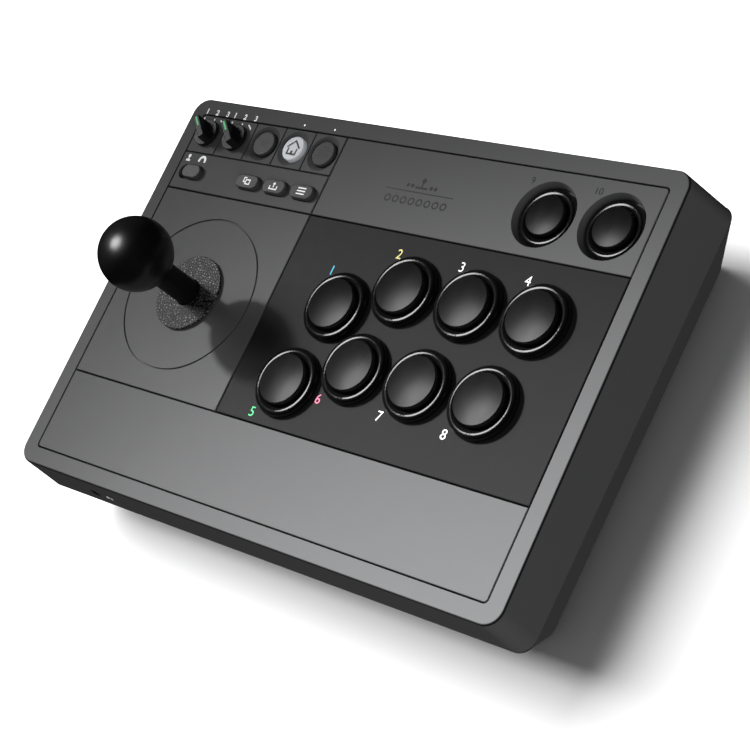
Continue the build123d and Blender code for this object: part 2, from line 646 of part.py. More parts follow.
def control_panel():
    edge = RECESS_X - PANEL_GAP / 2
    body = panel_blank(-edge, SPLIT_X, SPLIT_BACK, RECESS_Y)
    half = GROOVE_WIDTH / 2
    grooves = [block(-edge, SPLIT_X, CELL_ROW_FRONT - half, CELL_ROW_FRONT + half, -GROOVE_DEPTH, 1)]
    for index in range(1, CELL_COUNT):
        x = cell_edge(index - 1)
        grooves.append(block(x - half, x + half, CELL_ROW_FRONT, RECESS_Y, -GROOVE_DEPTH, 1))
    body = cut(body, grooves)
    hole = ROUND_CAP_RADIUS + CONTROL_CLEARANCE
    dishes = [cone(hole, ROUND_DISH_RADIUS, -ROUND_DISH_DEPTH, 0, x, CELL_Y) for x in ROUND_X]
    body = cut(body, dishes)
    body = cut(body, control_tools(DECK_TOP - 1, 1))
    slot = PILL_WIDTH + 2 * CONTROL_CLEARANCE
    return body - pill(SLIDE_SLOT, slot, DECK_TOP - 1, 1, SLIDE_X, PILL_Y)


def joystick_panel():
    body = panel_blank(-RECESS_X + PANEL_GAP / 2, SPLIT_X, SPLIT_FRONT, SPLIT_BACK)
    outer = RING_RADIUS + RING_WIDTH / 2
    body = body - ring(outer, outer - RING_WIDTH, -RING_DEPTH, 1, LEVER_X, LEVER_Y)
    return body - disc(LEVER_HOLE_RADIUS, DECK_TOP - 1, 1, LEVER_X, LEVER_Y)


def nameplate_panel():
    body = panel_blank(SPLIT_X, RECESS_X - PANEL_GAP / 2, SPLIT_BACK, RECESS_Y)
    cup_low = -DISH_DEPTH - DISH_FLOOR
    for x, y in SMALL_BUTTONS:
        body = body + cone(DISH_FLOOR_RADIUS + DISH_WALL, DISH_RADIUS + DISH_WALL, cup_low, DECK_TOP, x, y)
    for x, y in SMALL_BUTTONS:
        well = cone(DISH_FLOOR_RADIUS, DISH_RADIUS, -DISH_DEPTH, 0, x, y)
        body = cut(body, [well, disc(SMALL.barrel + HOLE_CLEARANCE, cup_low - 1, 1, x, y)])
    return body


def button_panel():
    body = panel_blank(SPLIT_X, RECESS_X - PANEL_GAP / 2, SPLIT_FRONT, SPLIT_BACK)
    holes = [disc(LARGE.barrel + HOLE_CLEARANCE, DECK_TOP - 1, 1, x, y) for x, y in LARGE_BUTTONS]
    return cut(body, holes)


def palm_rest_panel():
    edge = RECESS_X - PANEL_GAP / 2
    return panel_blank(-edge, edge, -RECESS_Y, SPLIT_FRONT)


# ---------------------------------------------------------------- push buttons, seat of the flange at z = 0
def button_bezel(size, under_seat):
    """Ring, barrel and floor of a snap-in button, with two catches below what it is held in."""
    bore = size.plunger + PLUNGER_CLEARANCE
    inner = size.barrel - BARREL_WALL
    with BuildSketch(Plane.XZ) as section:
        with BuildLine():
            Line((bore, -SHOULDER_DEPTH), (bore, size.ridge_height / 2))
            TangentArc((size.ridge, size.ridge_height), (bore, size.ridge_height / 2), tangent=(-1, 0))
            TangentArc((size.ridge, size.ridge_height), (size.flange, FLANGE_EDGE), tangent=(1, 0))
            Polyline(
                (size.flange, FLANGE_EDGE),
                (size.flange, 0),
                (size.barrel, 0),
                (size.barrel, -BARREL_DEPTH),
                (0, -BARREL_DEPTH),
                (0, -BARREL_DEPTH + BARREL_FLOOR),
                (inner, -BARREL_DEPTH + BARREL_FLOOR),
                (inner, -SHOULDER_DEPTH),
                (bore, -SHOULDER_DEPTH),
            )
        make_face()
    body = revolve(section.sketch, Axis.Z)
    half = CATCH_HALF_LENGTH
    for side in (-1, 1):
        wall = side * size.barrel
        catch = block(wall - 1, wall + 1, -half, half, -under_seat - 4, -under_seat - 0.1)
        body = body + (catch & disc(size.barrel + CATCH_REACH, -BARREL_DEPTH, 0))
    slot_high = -BARREL_DEPTH + BARREL_FLOOR + 0.1
    for x in (-TERMINAL_SPREAD, TERMINAL_SPREAD):
        slot = centred_block(
            TERMINAL_THICKNESS + 0.6, TERMINAL_WIDTH + 0.8, -BARREL_DEPTH - 1, slot_high, x
        )
        body = body - slot
    return body


def button_switch():
    low = -BARREL_DEPTH + BARREL_FLOOR
    high = low + SWITCH_HEIGHT
    body = centred_block(SWITCH_LENGTH, SWITCH_WIDTH, low, high)
    body = fillet(body.edges().filter_by(Axis.Z), 0.6)
    well_depth = BUTTON_TRAVEL + 2 * WELL_CLEARANCE
    body = body - disc(POST_PIN_RADIUS + WELL_CLEARANCE, high - well_depth, high + 1)
    for x in (-TERMINAL_SPREAD, TERMINAL_SPREAD):
        body = body + centred_block(TERMINAL_THICKNESS, TERMINAL_WIDTH, low - TERMINAL_LENGTH, low + 1, x)
    return body


def button_cap(size):
    """Plunger with a slightly domed top, a skirt with a retaining lip, and the post that works the switch."""
    lip = size.barrel - BARREL_WALL - PLUNGER_CLEARANCE - 0.05
    lip_high = -SHOULDER_DEPTH - PLUNGER_CLEARANCE
    lip_low = lip_high - 1.5
    edge = size.plunger - 0.55
    skirt = size.plunger - 1.5
    ceiling = size.top - 1.8
    post_low = -BARREL_DEPTH + BARREL_FLOOR + SWITCH_HEIGHT - WELL_CLEARANCE
    with BuildSketch(Plane.XZ) as section:
        with BuildLine():
            RadiusArc((0, size.top + size.dome), (edge, size.top), (edge**2 + size.dome**2) / (2 * size.dome))
            TangentArc((edge, size.top), (size.plunger, size.top - 0.5), tangent=(1, 0))
            Polyline(
                (size.plunger, size.top - 0.5),
                (size.plunger, lip_high),
                (lip, lip_high),
                (lip, lip_low),
                (skirt, lip_low),
                (skirt, ceiling),
                (POST_PIN_RADIUS, ceiling),
                (POST_PIN_RADIUS, post_low),
                (0, post_low),
                (0, size.top + size.dome),
            )
        make_face()
    return revolve(section.sketch, Axis.Z)


def all_button_seats():
    seats = [(LARGE, Pos(x, y, 0), -PLATE_LOW) for x, y in LARGE_BUTTONS]
    return seats + [(SMALL, Pos(x, y, -DISH_DEPTH), DISH_FLOOR) for x, y in SMALL_BUTTONS]


# ---------------------------------------------------------------- lever, in a panel frame about its own axis
LEVER = PANEL * Pos(LEVER_X, LEVER_Y, 0)
PIVOT = -PIVOT_DEPTH
SHAFT_COVER_TOP = BALL_HEIGHT - (BALL_RADIUS**2 - COVER_RADIUS**2) ** 0.5
SHAFT_COVER_LOW = PIVOT + 7.0
SEAT_LOW = PIVOT - 8.5
SPRING_SEAT_LOW = SEAT_LOW - 1.4
ACTUATOR_TOP = PIVOT - 15.0
ACTUATOR_LOW = PIVOT - 22.5
ACTUATOR_RADIUS = 9.5
SKIRT_LOW = PIVOT - 11.0
SWITCH_BOARD_LOW = SKIRT_LOW - BOARD_THICKNESS
GATE_TOP = PIVOT - 25.0
GATE_LOW = GATE_TOP - 2.0
SHAFT_LOW = GATE_LOW - 0.6
STUD_TOP = BALL_HEIGHT - 4.0
CLIP_THICKNESS = 0.8
CLIP_RADIUS = 6.5
CLIP_MOUTH = 2.4
GROOVE_RADIUS = 3.4
JOYSTICK_CORNER = 3.0
JOYSTICK_SWITCH_FACE = 15.0
JOYSTICK_SWITCH_THICKNESS = 6.4
JOYSTICK_SWITCH_LENGTH = 19.8
JOYSTICK_SWITCH_HEIGHT = 10.0
SWITCH_BUTTON_LOW = PIVOT - 19.7
SWITCH_BUTTON_TOP = SWITCH_BUTTON_LOW + 2.0
SPRING_SEAT_RADIUS = 11.0
SPRING_WIRE = 0.5
SPRING_RADIUS = 7.0
SPRING_TURNS = 2.5
WEB_THICKNESS = 2.0
WEB_ANGLES = (62, 118)
GATE_ARM = 1.6
GATE_ARM_HALF = 4.5
GATE_GAP = 0.1
WINDOW_LOW = PIVOT - 6.0
WINDOW_HIGH = PIVOT - 3.0
WINDOW_HALF = 5.0


def pin_bore(radius, half):
    return Location((0, 0, PIVOT), (0, 90, 0)) * Cylinder(radius, 2 * half)


def joystick_plate():
    body = rounded_block(*JOYSTICK_PLATE_SIZE, JOYSTICK_CORNER, JOYSTICK_PLATE_LOW, PLATE_LOW)
    low = JOYSTICK_PLATE_LOW - 1
    high = PLATE_LOW + 1
    tools = [disc(LEVER_HOLE_RADIUS - 1, low, high)]
    tools += [disc(SCREW_HOLE_RADIUS, low, high, x - LEVER_X, y - LEVER_Y) for x, y in JOYSTICK_SCREWS]
    tools += [disc(SCREW_RADIUS, low, high, x - LEVER_X, y - LEVER_Y) for x, y in BODY_SCREWS]
    return cut(body, tools)


def joystick_body():
    """Housing with a round socket that holds the pivot ball and two upright slots for the cross pin."""
    size = JOYSTICK_BODY_SIZE
    top = JOYSTICK_PLATE_LOW
    flange_low = top - JOYSTICK_FLANGE
    inner = size - 2 * JOYSTICK_WALL
    body = rounded_block(size, size, JOYSTICK_CORNER, SKIRT_LOW, top)
    body = body - rounded_block(inner, inner, JOYSTICK_CORNER / 2, SKIRT_LOW - 1, flange_low)
    body = body + disc(SOCKET_OUTER_RADIUS, SEAT_LOW, flange_low)
    reach = inner / 2 + 1
    web = centred_block(2 * reach, WEB_THICKNESS, SEAT_LOW + 3, flange_low)
    inside = centred_block(2 * reach, 2 * reach, SEAT_LOW, flange_low)
    hub = disc(SOCKET_OUTER_RADIUS - 1, SEAT_LOW, flange_low)
    for angle in WEB_ANGLES:
        body = body + ((Rot(0, 0, angle) * web & inside) - hub)
    socket = PIVOT_RADIUS + MOVING_CLEARANCE
    body = body - disc(LEVER_HOLE_RADIUS - 1, flange_low, top + 1)
    body = body - disc(socket, PIVOT, flange_low + 1)
    body = body - Pos(0, 0, PIVOT) * Sphere(socket)
    body = body - disc(SHAFT_RADIUS + 2.45, SEAT_LOW - 1, PIVOT)
    swing = PIN_HALF_LENGTH * sin(radians(LEVER_TILT)) + PIN_RADIUS + MOVING_CLEARANCE
    slot_width = 2 * (PIN_RADIUS + MOVING_CLEARANCE)
    body = body - centred_block(2 * SOCKET_OUTER_RADIUS + 2, slot_width, PIVOT - swing, PIVOT + swing)
    low = flange_low - 1
    high = top + 1
    tools = [disc(SCREW_HOLE_RADIUS, low, high, x - LEVER_X, y - LEVER_Y) for x, y in BODY_SCREWS]
    for x in (-size / 2, size / 2):
        tools.append(centred_block(8, 2 * WINDOW_HALF, WINDOW_LOW, WINDOW_HIGH, x))
    return cut(body, tools)


def spring_seat():
    return ring(SPRING_SEAT_RADIUS, SHAFT_RADIUS + 2.85, SPRING_SEAT_LOW, SEAT_LOW)


def joystick_board():
    size = JOYSTICK_BODY_SIZE
    board = rounded_block(size, size, JOYSTICK_CORNER, SWITCH_BOARD_LOW, SKIRT_LOW)
    board = board - disc(SOCKET_OUTER_RADIUS + 0.5, SWITCH_BOARD_LOW - 1, SKIRT_LOW + 1)
    return board + block(-7, 7, -size / 2 - 4, -size / 2 + 2, SWITCH_BOARD_LOW, SKIRT_LOW)


def joystick_switches():
    """Four microswitches round the actuator, each with its button facing in."""
    low = SWITCH_BOARD_LOW - JOYSTICK_SWITCH_HEIGHT
    face = JOYSTICK_SWITCH_FACE
    half = JOYSTICK_SWITCH_LENGTH / 2
    body = block(face, face + JOYSTICK_SWITCH_THICKNESS, -half, half, low, SWITCH_BOARD_LOW)
    body = body + block(face - 1.1, face + 1, -1.5, 1.5, SWITCH_BUTTON_LOW, SWITCH_BUTTON_TOP)
    return [Rot(0, 0, 90 * n) * body for n in range(4)]


def restrictor_gate():
    """Cover under the switches whose square opening limits how far the lever goes."""
    size = JOYSTICK_BODY_SIZE
    inner = size - 2 * JOYSTICK_WALL
    body = rounded_block(size, size, JOYSTICK_CORNER, GATE_LOW, SWITCH_BOARD_LOW)
    body = body - rounded_block(inner, inner, JOYSTICK_CORNER / 2, GATE_TOP, SWITCH_BOARD_LOW + 1)
    tilt = radians(LEVER_TILT)
    swing = (PIVOT - GATE_LOW) * tan(tilt) + TIP_RADIUS / cos(tilt) + MOVING_CLEARANCE
    body = body - rounded_block(2 * swing, 2 * swing, JOYSTICK_CORNER, GATE_LOW - 1, GATE_TOP + 1)
    near = size / 2 + GATE_GAP
    half = GATE_ARM_HALF
    hook_high = WINDOW_HIGH - 0.2
    arm = block(near, near + GATE_ARM, -half, half, GATE_LOW, hook_high)
    foot = block(size / 2 - 2, near + GATE_ARM, -half, half, GATE_LOW, GATE_TOP)
    hook = block(near - 1.3, near + 1, -half, half, WINDOW_LOW + 0.3, hook_high)
    clip = arm + foot + hook
    return body + clip + Rot(0, 0, 180) * clip


def lever_shaft():
    shaft = disc(SHAFT_RADIUS, ACTUATOR_TOP, SHAFT_COVER_TOP)
    shaft = shaft + disc(STUD_RADIUS, SHAFT_COVER_TOP, STUD_TOP)
    shaft = shaft + disc(TIP_RADIUS, SHAFT_LOW, ACTUATOR_TOP)
    shaft = shaft - ring(TIP_RADIUS + 1, GROOVE_RADIUS, ACTUATOR_LOW - CLIP_THICKNESS, ACTUATOR_LOW)
    return shaft - pin_bore(PIN_RADIUS + RUNNING_CLEARANCE, SHAFT_RADIUS + 1)


def ball_top():
    ball = Pos(0, 0, BALL_HEIGHT) * Sphere(BALL_RADIUS)
    ball = ball - disc(BALL_RADIUS, SHAFT_COVER_TOP - BALL_RADIUS, SHAFT_COVER_TOP)
    return ball - disc(STUD_RADIUS, SHAFT_COVER_TOP - 1, STUD_TOP)


def shaft_cover():
    return ring(COVER_RADIUS, SHAFT_RADIUS + RUNNING_CLEARANCE, SHAFT_COVER_LOW, SHAFT_COVER_TOP)


def pivot_ball():
    ball = Pos(0, 0, PIVOT) * Sphere(PIVOT_RADIUS)
    ball = ball & disc(PIVOT_RADIUS, SEAT_LOW + 1, SHAFT_COVER_LOW)
    ball = ball - disc(SHAFT_RADIUS, SEAT_LOW - 1, SHAFT_COVER_LOW + 1)
    return ball - pin_bore(PIN_RADIUS + RUNNING_CLEARANCE, PIVOT_RADIUS + 1)


def pivot_cross_pin():
    pin = pin_bore(PIN_RADIUS, PIN_HALF_LENGTH)
    return chamfer(pin.edges(), 0.3)


def actuator():
    bevel = 1.5
    body = disc(ACTUATOR_RADIUS, ACTUATOR_LOW, ACTUATOR_TOP - bevel)
    body = body + cone(ACTUATOR_RADIUS, ACTUATOR_RADIUS - bevel, ACTUATOR_TOP - bevel, ACTUATOR_TOP)
    return body - disc(TIP_RADIUS, ACTUATOR_LOW - 1, ACTUATOR_TOP + 1)


def e_clip():
    body = ring(CLIP_RADIUS, GROOVE_RADIUS, ACTUATOR_LOW - CLIP_THICKNESS, ACTUATOR_LOW)
    return body - block(0, CLIP_RADIUS + 1, -CLIP_MOUTH, CLIP_MOUTH, ACTUATOR_LOW - 2, ACTUATOR_LOW + 1)


def centering_spring():
    """Coil spring round the shaft, between its seat and the actuator."""
    end = SPRING_WIRE + 0.1
    low = ACTUATOR_TOP + end
    height = SPRING_SEAT_LOW - end - low
    path = Pos(0, 0, low) * Helix(pitch=height / SPRING_TURNS, height=height, radius=SPRING_RADIUS)
    section = Plane(origin=path @ 0, z_dir=path % 0) * Circle(SPRING_WIRE)
    return sweep(section, path=path)


def dust_washer():
    low = 2 * WASHER_GAP + SLIP_WASHER_THICKNESS
    body = ring(WASHER_RADIUS, COVER_RADIUS + WELL_CLEARANCE, low, low + WASHER_THICKNESS)
    return chamfer(body.edges().group_by(Axis.Z)[-1].sort_by(SortBy.RADIUS)[-1], 0.3)


def slip_washer():
    """Thin washer under the textured one. Its slot leaves the lever free to move forwards and back."""
    body = disc(SLIP_WASHER_RADIUS, WASHER_GAP, WASHER_GAP + SLIP_WASHER_THICKNESS)
    width = 2 * (COVER_RADIUS + WELL_CLEARANCE)
    reach = width + 2 * PIVOT_DEPTH * tan(radians(LEVER_TILT)) + 1.0
    return body - Rot(0, 0, 90) * pill(reach, width, -1, 1)


# ---------------------------------------------------------------- controls at the back left
def control_cap(outline_cap, outline_flange, top, edge_radius):
    """Cap with a flange that keeps it under the deck and a post that reaches the tact switch."""
    flange_high = DECK_LOW - CONTROL_CLEARANCE
    flange_low = flange_high - CAP_FLANGE_THICKNESS
    cap = outline_cap(flange_high, top)
    cap = fillet(cap.edges().group_by(Axis.Z)[-1], edge_radius)
    tact_top = CONTROL_BOARD_TOP + TACT_HEIGHT
    post = disc(TACT_POST_RADIUS, tact_top - 0.4, flange_low)
    return cap + outline_flange(flange_low, flange_high) + post


def round_button():
    radius = ROUND_CAP_RADIUS
    return control_cap(
        lambda low, high: disc(radius, low, high),
        lambda low, high: disc(radius + CAP_FLANGE, low, high),
        ROUND_CAP_TOP,
        0.5,
    )


def pill_button():
    return control_cap(
        lambda low, high: pill(PILL_LENGTH, PILL_WIDTH, low, high),
        lambda low, high: pill(PILL_LENGTH + 2 * CAP_FLANGE, PILL_WIDTH + 2 * CAP_FLANGE, low, high),
        PILL_TOP,
        0.7,
    )


def pointer_knob():
    """Round base with a tall fin across it, on a stem that turns the rotary switch."""
    base = disc(KNOB_RADIUS, CONTROL_CLEARANCE, KNOB_BASE)
    base = fillet(base.edges().group_by(Axis.Z)[-1], 0.4)
    fin = centred_block(2 * KNOB_RADIUS, KNOB_FIN_WIDTH, CONTROL_CLEARANCE, KNOB_TOP)
    fin = fin & disc(KNOB_RADIUS, 0, KNOB_TOP)
    fin = fillet(fin.edges().group_by(Axis.Z)[-1], 0.5)
    stem = disc(KNOB_STEM_RADIUS, CONTROL_BOARD_TOP + 2.0, CONTROL_CLEARANCE)
    return Rot(0, 0, KNOB_ANGLE) * (base + fin + stem)


def slide_switch_knob():
    cap = pill(SLIDE_KNOB_LENGTH, PILL_WIDTH, DECK_TOP + CONTROL_CLEARANCE, PILL_TOP)
    cap = fillet(cap.edges().group_by(Axis.Z)[-1], 0.7)
    stem_low = CONTROL_BOARD_TOP + 2.0
    return cap + centred_block(SLIDE_STEM_LENGTH, SLIDE_STEM_WIDTH, stem_low, DECK_TOP + CONTROL_CLEARANCE)


def tact_switch(x, y):
    high = CONTROL_BOARD_TOP + TACT_HEIGHT
    body = centred_block(TACT_SIZE, TACT_SIZE, CONTROL_BOARD_TOP, high, x, y)
    return body - disc(TACT_POST_RADIUS + 0.3, high - CONTROL_TRAVEL - 1.0, high + 1, x, y)


def rotary_switch(x):
    high = CONTROL_BOARD_TOP + ROTARY_HEIGHT
    body = centred_block(ROTARY_SIZE, ROTARY_SIZE, CONTROL_BOARD_TOP, high, x, CELL_Y)
    bore = KNOB_STEM_RADIUS + 2 * RUNNING_CLEARANCE
    return body - disc(bore, CONTROL_BOARD_TOP + SWITCH_FLOOR, high + 1, x, CELL_Y)


def slide_switch_body():
    high = CONTROL_BOARD_TOP + SLIDE_BODY_HEIGHT
    body = centred_block(SLIDE_BODY_LENGTH, SLIDE_BODY_WIDTH, CONTROL_BOARD_TOP, high, SLIDE_X, PILL_Y)
    return body - slide_stem_slot(CONTROL_BOARD_TOP + SWITCH_FLOOR, high + 1, CONTROL_CLEARANCE)


def control_board():
    low = CONTROL_BOARD_TOP - BOARD_THICKNESS
    high = CONTROL_BOARD_TOP
    body = block(-RECESS_X + 3.5, SPLIT_X - 2.0, SPLIT_BACK + 2.5, LIGHT_Y + 1.0, low, high)
    body = cut(body, [disc(SCREW_HOLE_RADIUS, low - 1, high + 1, x, y) for x, y in STANDOFFS])
    lamps = [centred_block(1.6, 1.0, high, high + LAMP_HEIGHT, x, LIGHT_Y) for x in LIGHT_X]
    plug = centred_block(14.0, 6.0, low - 4.5, low, LEVER_X + 5.6, SPLIT_BACK + 6.5)
    return joined([body, *lamps, plug])


def light_pipe(x):
    """Clear pin that carries a lamp's light up through the rim."""
    pin = disc(LIGHT_RADIUS, DECK_LOW, 0, x, LIGHT_Y)
    return pin + disc(2 * LIGHT_RADIUS, CONTROL_BOARD_TOP + 1.2, DECK_LOW, x, LIGHT_Y)


# ---------------------------------------------------------------- inside the case
def main_board():
    x_low, x_high, y_low, y_high = MAIN_BOARD
    low = MAIN_BOARD_HEIGHT
    high = low + BOARD_THICKNESS
    body = block(x_low, x_high, y_low, y_high, low, high)
    body = cut(body, [disc(SCREW_HOLE_RADIUS, low - 1, high + 1, x, y) for x, y in main_board_posts()])
    chip = centred_block(9.0, 9.0, high, high + 1.0, x_low + 30, y_low + 20)
    radio = centred_block(16.0, 12.0, high, high + 2.2, x_low + 48, y_low + 18)
    plugs = [centred_block(12.0, 5.0, high, high + 6.0, x_low + 18 + 16 * n, y_low + 5) for n in range(3)]
    return joined([body, chip, radio, *plugs])


def usb_c_port():
    """Socket shell with its tongue, flush with the back wall."""
    mouth = back_wall_y(MAIN_BOARD_HEIGHT + BOARD_THICKNESS + USB_HEIGHT / 2) - 0.9
    low = mouth - USB_DEPTH
    shell = usb_tunnel(low, mouth, USB_LENGTH, USB_HEIGHT)
    bore = 2 * USB_SHELL
    shell = shell - usb_tunnel(low + 1.2, mouth + 1, USB_LENGTH - bore, USB_HEIGHT - bore)
    middle = MAIN_BOARD_HEIGHT + BOARD_THICKNESS + USB_HEIGHT / 2
    side = USB_TONGUE_HALF_WIDTH
    rise = USB_TONGUE_HALF_HEIGHT
    return shell + block(USB_X - side, USB_X + side, low + 1, mouth - 1.5, middle - rise, middle + rise)


def headphone_jack():
    front = front_wall_y(JACK_HEIGHT)
    inner = front + WALL + 0.2
    barrel = jack_cylinder(JACK_BARREL_RADIUS, front + 0.1, inner + 1)
    side = JACK_HALF_WIDTH
    rise = JACK_HALF_HEIGHT
    back = front + JACK_BORE_LENGTH + 2
    body = block(JACK_X - side, JACK_X + side, inner, back, JACK_HEIGHT - rise, JACK_HEIGHT + rise)
    return barrel + body - jack_cylinder(JACK_BORE_RADIUS, front - 1, front + 0.1 + JACK_BORE_LENGTH)


def ballast_plate():
    body = block(-BALLAST_X, BALLAST_X, BALLAST_FRONT, BALLAST_BACK, BALLAST_LOW, BALLAST_TOP)
    body = fillet(body.edges().filter_by(Axis.Z), 6.0)
    tools = [disc(SCREW_HOLE_RADIUS, BALLAST_LOW - 1, BALLAST_TOP + 1, x, y) for x, y in BALLAST_SCREWS]
    tools += [disc(SCREW_RADIUS, BALLAST_LOW - 1, BALLAST_TOP + 1, x, y) for x, y in BRACKET_SCREWS]
    return cut(body, tools)


def battery_pack():
    low = BALLAST_TOP
    body = centred_block(BATTERY_LENGTH, BATTERY_WIDTH, low, low + BATTERY_HEIGHT, BATTERY_X, BATTERY_Y)
    return fillet(body.edges().filter_by(Axis.Z), 3.0)


def battery_bracket():
    """Steel strap over the battery with a foot at each end."""
    sheet = STRAP_THICKNESS
    width = 2 * STRAP_HALF_WIDTH
    inner = BATTERY_LENGTH + 2 * STRAP_CLEARANCE
    outer = inner + 2 * sheet
    low = BALLAST_TOP
    top = low + BATTERY_HEIGHT + STRAP_CLEARANCE
    strap = centred_block(outer, width, low, top + sheet, BATTERY_X, BATTERY_Y)
    strap = strap + centred_block(inner + 2 * STRAP_FOOT, width, low, low + sheet, BATTERY_X, BATTERY_Y)
    strap = strap - centred_block(inner, width + 2, low - 1, top, BATTERY_X, BATTERY_Y)
    holes = [disc(SCREW_HOLE_RADIUS, low - 1, low + sheet + 1, x, y) for x, y in BRACKET_SCREWS]
    return cut(strap, holes)


def build():
    os.makedirs("parts", exist_ok=True)
    write("top_housing", [top_housing()])
    write("bottom_cover", [bottom_cover()])
    write("rubber_feet", [rubber_foot(x, y) for x, y in FEET])
    write("case_screws", [case_screw(x, y) for x, y in CASE_POSTS])
    write("board_screws", board_screws())
    write("panel_plate", [panel_plate()], PANEL)
    write("control_panel", [control_panel()], PANEL)
    write("joystick_panel", [joystick_panel()], PANEL)
    write("nameplate_panel", [nameplate_panel()], PANEL)
    write("button_panel", [button_panel()], PANEL)
    write("palm_rest_panel", [palm_rest_panel()], PANEL)
    seats = all_button_seats()
    large = [place * button_bezel(size, under) for size, place, under in seats if size is LARGE]
    small = [place * button_bezel(size, under) for size, place, under in seats if size is SMALL]
    write("button_bezels_30mm", large, PANEL)
    write("button_bezels_24mm", small, PANEL)
    write("button_microswitches", [place * button_switch() for _, place, _ in seats], PANEL)
    names = ["button_cap_%d" % n for n in range(1, 9)] + ["stick_click_cap_left", "stick_click_cap_right"]
    for name, (size, place, _) in zip(names, seats):
        write(name, [place * button_cap(size)], PANEL)
    write("joystick_plate", [joystick_plate()], LEVER)
    write("joystick_body", [joystick_body()], LEVER)
    write("spring_seat", [spring_seat()], LEVER)
    write("joystick_board", [joystick_board()], LEVER)
    write("joystick_microswitches", joystick_switches(), LEVER)
    write("restrictor_gate", [restrictor_gate()], LEVER)
    write("lever_shaft", [lever_shaft()], LEVER)
    write("ball_top", [ball_top()], LEVER)
    write("shaft_cover", [shaft_cover()], LEVER)
    write("pivot_ball", [pivot_ball()], LEVER)
    write("pivot_cross_pin", [pivot_cross_pin()], LEVER)
    write("actuator", [actuator()], LEVER)
    write("e_clip", [e_clip()], LEVER)
    write("centering_spring", [centering_spring()], LEVER)
    write("dust_washer", [dust_washer()], LEVER)
    write("slip_washer", [slip_washer()], LEVER)
    for name, x in zip(["star_button", "home_button", "profile_button"], ROUND_X):
        write(name, [Pos(x, CELL_Y, 0) * round_button()], PANEL)
    for name, x in zip(["view_button", "share_button", "menu_button"], PILL_X):
        write(name, [Pos(x, PILL_Y, 0) * pill_button()], PANEL)
    for name, x in zip(["mode_knob", "function_knob"], KNOB_X):
        write(name, [Pos(x, CELL_Y, 0) * pointer_knob()], PANEL)
    write("slide_switch_knob", [Pos(SLIDE_REST_X, PILL_Y, 0) * slide_switch_knob()], PANEL)
    tacts = [tact_switch(x, CELL_Y) for x in ROUND_X] + [tact_switch(x, PILL_Y) for x in PILL_X]
    write("tact_switches", tacts, PANEL)
    write("rotary_switches", [rotary_switch(x) for x in KNOB_X], PANEL)
    write("slide_switch_body", [slide_switch_body()], PANEL)
    write("control_board", [control_board()], PANEL)
    write("light_pipes", [light_pipe(x) for x in LIGHT_X], PANEL)
    write("main_board", [main_board()])
    write("usb_c_port", [usb_c_port()])
    write("headphone_jack", [headphone_jack()])
    write("ballast_plate", [ballast_plate()])
    write("battery_pack", [battery_pack()])
    write("battery_bracket", [battery_bracket()])


build()
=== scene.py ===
"""Looks of the arcade joystick panel: its materials and printed marks, the lights and the camera.

Lengths are in metres and angles in degrees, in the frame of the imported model.
"""

import json
from math import cos, radians, sin

import bmesh
import bpy
from mathutils import Matrix, Vector


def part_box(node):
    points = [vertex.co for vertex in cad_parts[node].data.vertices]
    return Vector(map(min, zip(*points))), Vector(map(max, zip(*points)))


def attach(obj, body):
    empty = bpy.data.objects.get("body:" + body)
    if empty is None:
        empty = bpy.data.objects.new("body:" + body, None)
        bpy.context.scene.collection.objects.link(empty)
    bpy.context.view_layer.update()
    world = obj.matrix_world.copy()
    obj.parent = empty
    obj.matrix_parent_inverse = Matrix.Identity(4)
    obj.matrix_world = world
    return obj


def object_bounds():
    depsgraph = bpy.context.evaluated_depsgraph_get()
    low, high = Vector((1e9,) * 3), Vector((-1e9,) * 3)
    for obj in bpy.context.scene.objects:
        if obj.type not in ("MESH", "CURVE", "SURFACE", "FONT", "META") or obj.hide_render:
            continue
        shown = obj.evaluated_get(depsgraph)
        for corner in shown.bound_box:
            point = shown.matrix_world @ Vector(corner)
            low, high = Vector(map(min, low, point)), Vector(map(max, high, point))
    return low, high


MM = 0.001

# Printed marks
INK_THICKNESS = 0.03 * MM
INK_LIFT = 0.01 * MM         # the ink's underside sinks this far into the panel
NUMBER_HEIGHT = 4.6 * MM
TINY_BOLD = 0.03             # how much the tiny figures' strokes are thickened, as a share of their height
NUMBER_ABOVE = (-12.6 * MM, 16.6 * MM)
NUMBER_BELOW = (-12.6 * MM, -16.9 * MM)
SMALL_NUMBER_HEIGHT = 3.2 * MM
TINY_NUMBER_HEIGHT = 3.0 * MM
SMALL_NUMBER_OFFSET = (-12.9 * MM, 14.5 * MM)

STROKE = 0.6 * MM            # lines of the white signs and ticks
RULE_STROKE = 0.5 * MM       # the nameplate's rule
RING_STROKE = 0.7 * MM       # the nameplate's rings
BROAD_STROKE = 0.9 * MM      # the knobs' pointers and the house
KNOBS = ("mode_knob", "function_knob")

# Camera: it looks at a point on the top face, and is rolled to one side
CAMERA_AIM = Vector((0.0374, -0.0166, 0.0582))
CAMERA_DISTANCE = 0.8361
CAMERA_AZIMUTH = -19.30      # from +X towards +Y
CAMERA_ELEVATION = 46.10
CAMERA_ROLL = 49.20
CAMERA_LENS = 94.13
SENSOR_WIDTH = 36.0

# Lamps: the key is a spot whose beam is centred on a point of the top face's plane, off the front right
# corner, and all the others are soft boxes
BEAM_AIM = (0.600, -0.379, 0.0)
KEY_CONE = 22.4
KEY_DISTANCE = 2.2
GLOSS_DISTANCE = 1.6         # of the boxes that glossy parts mirror
FILL_DISTANCE = 1.8
FILL_WIDTH = 1.2
DAYLIGHT = 0.14              # strength of the even light from all round

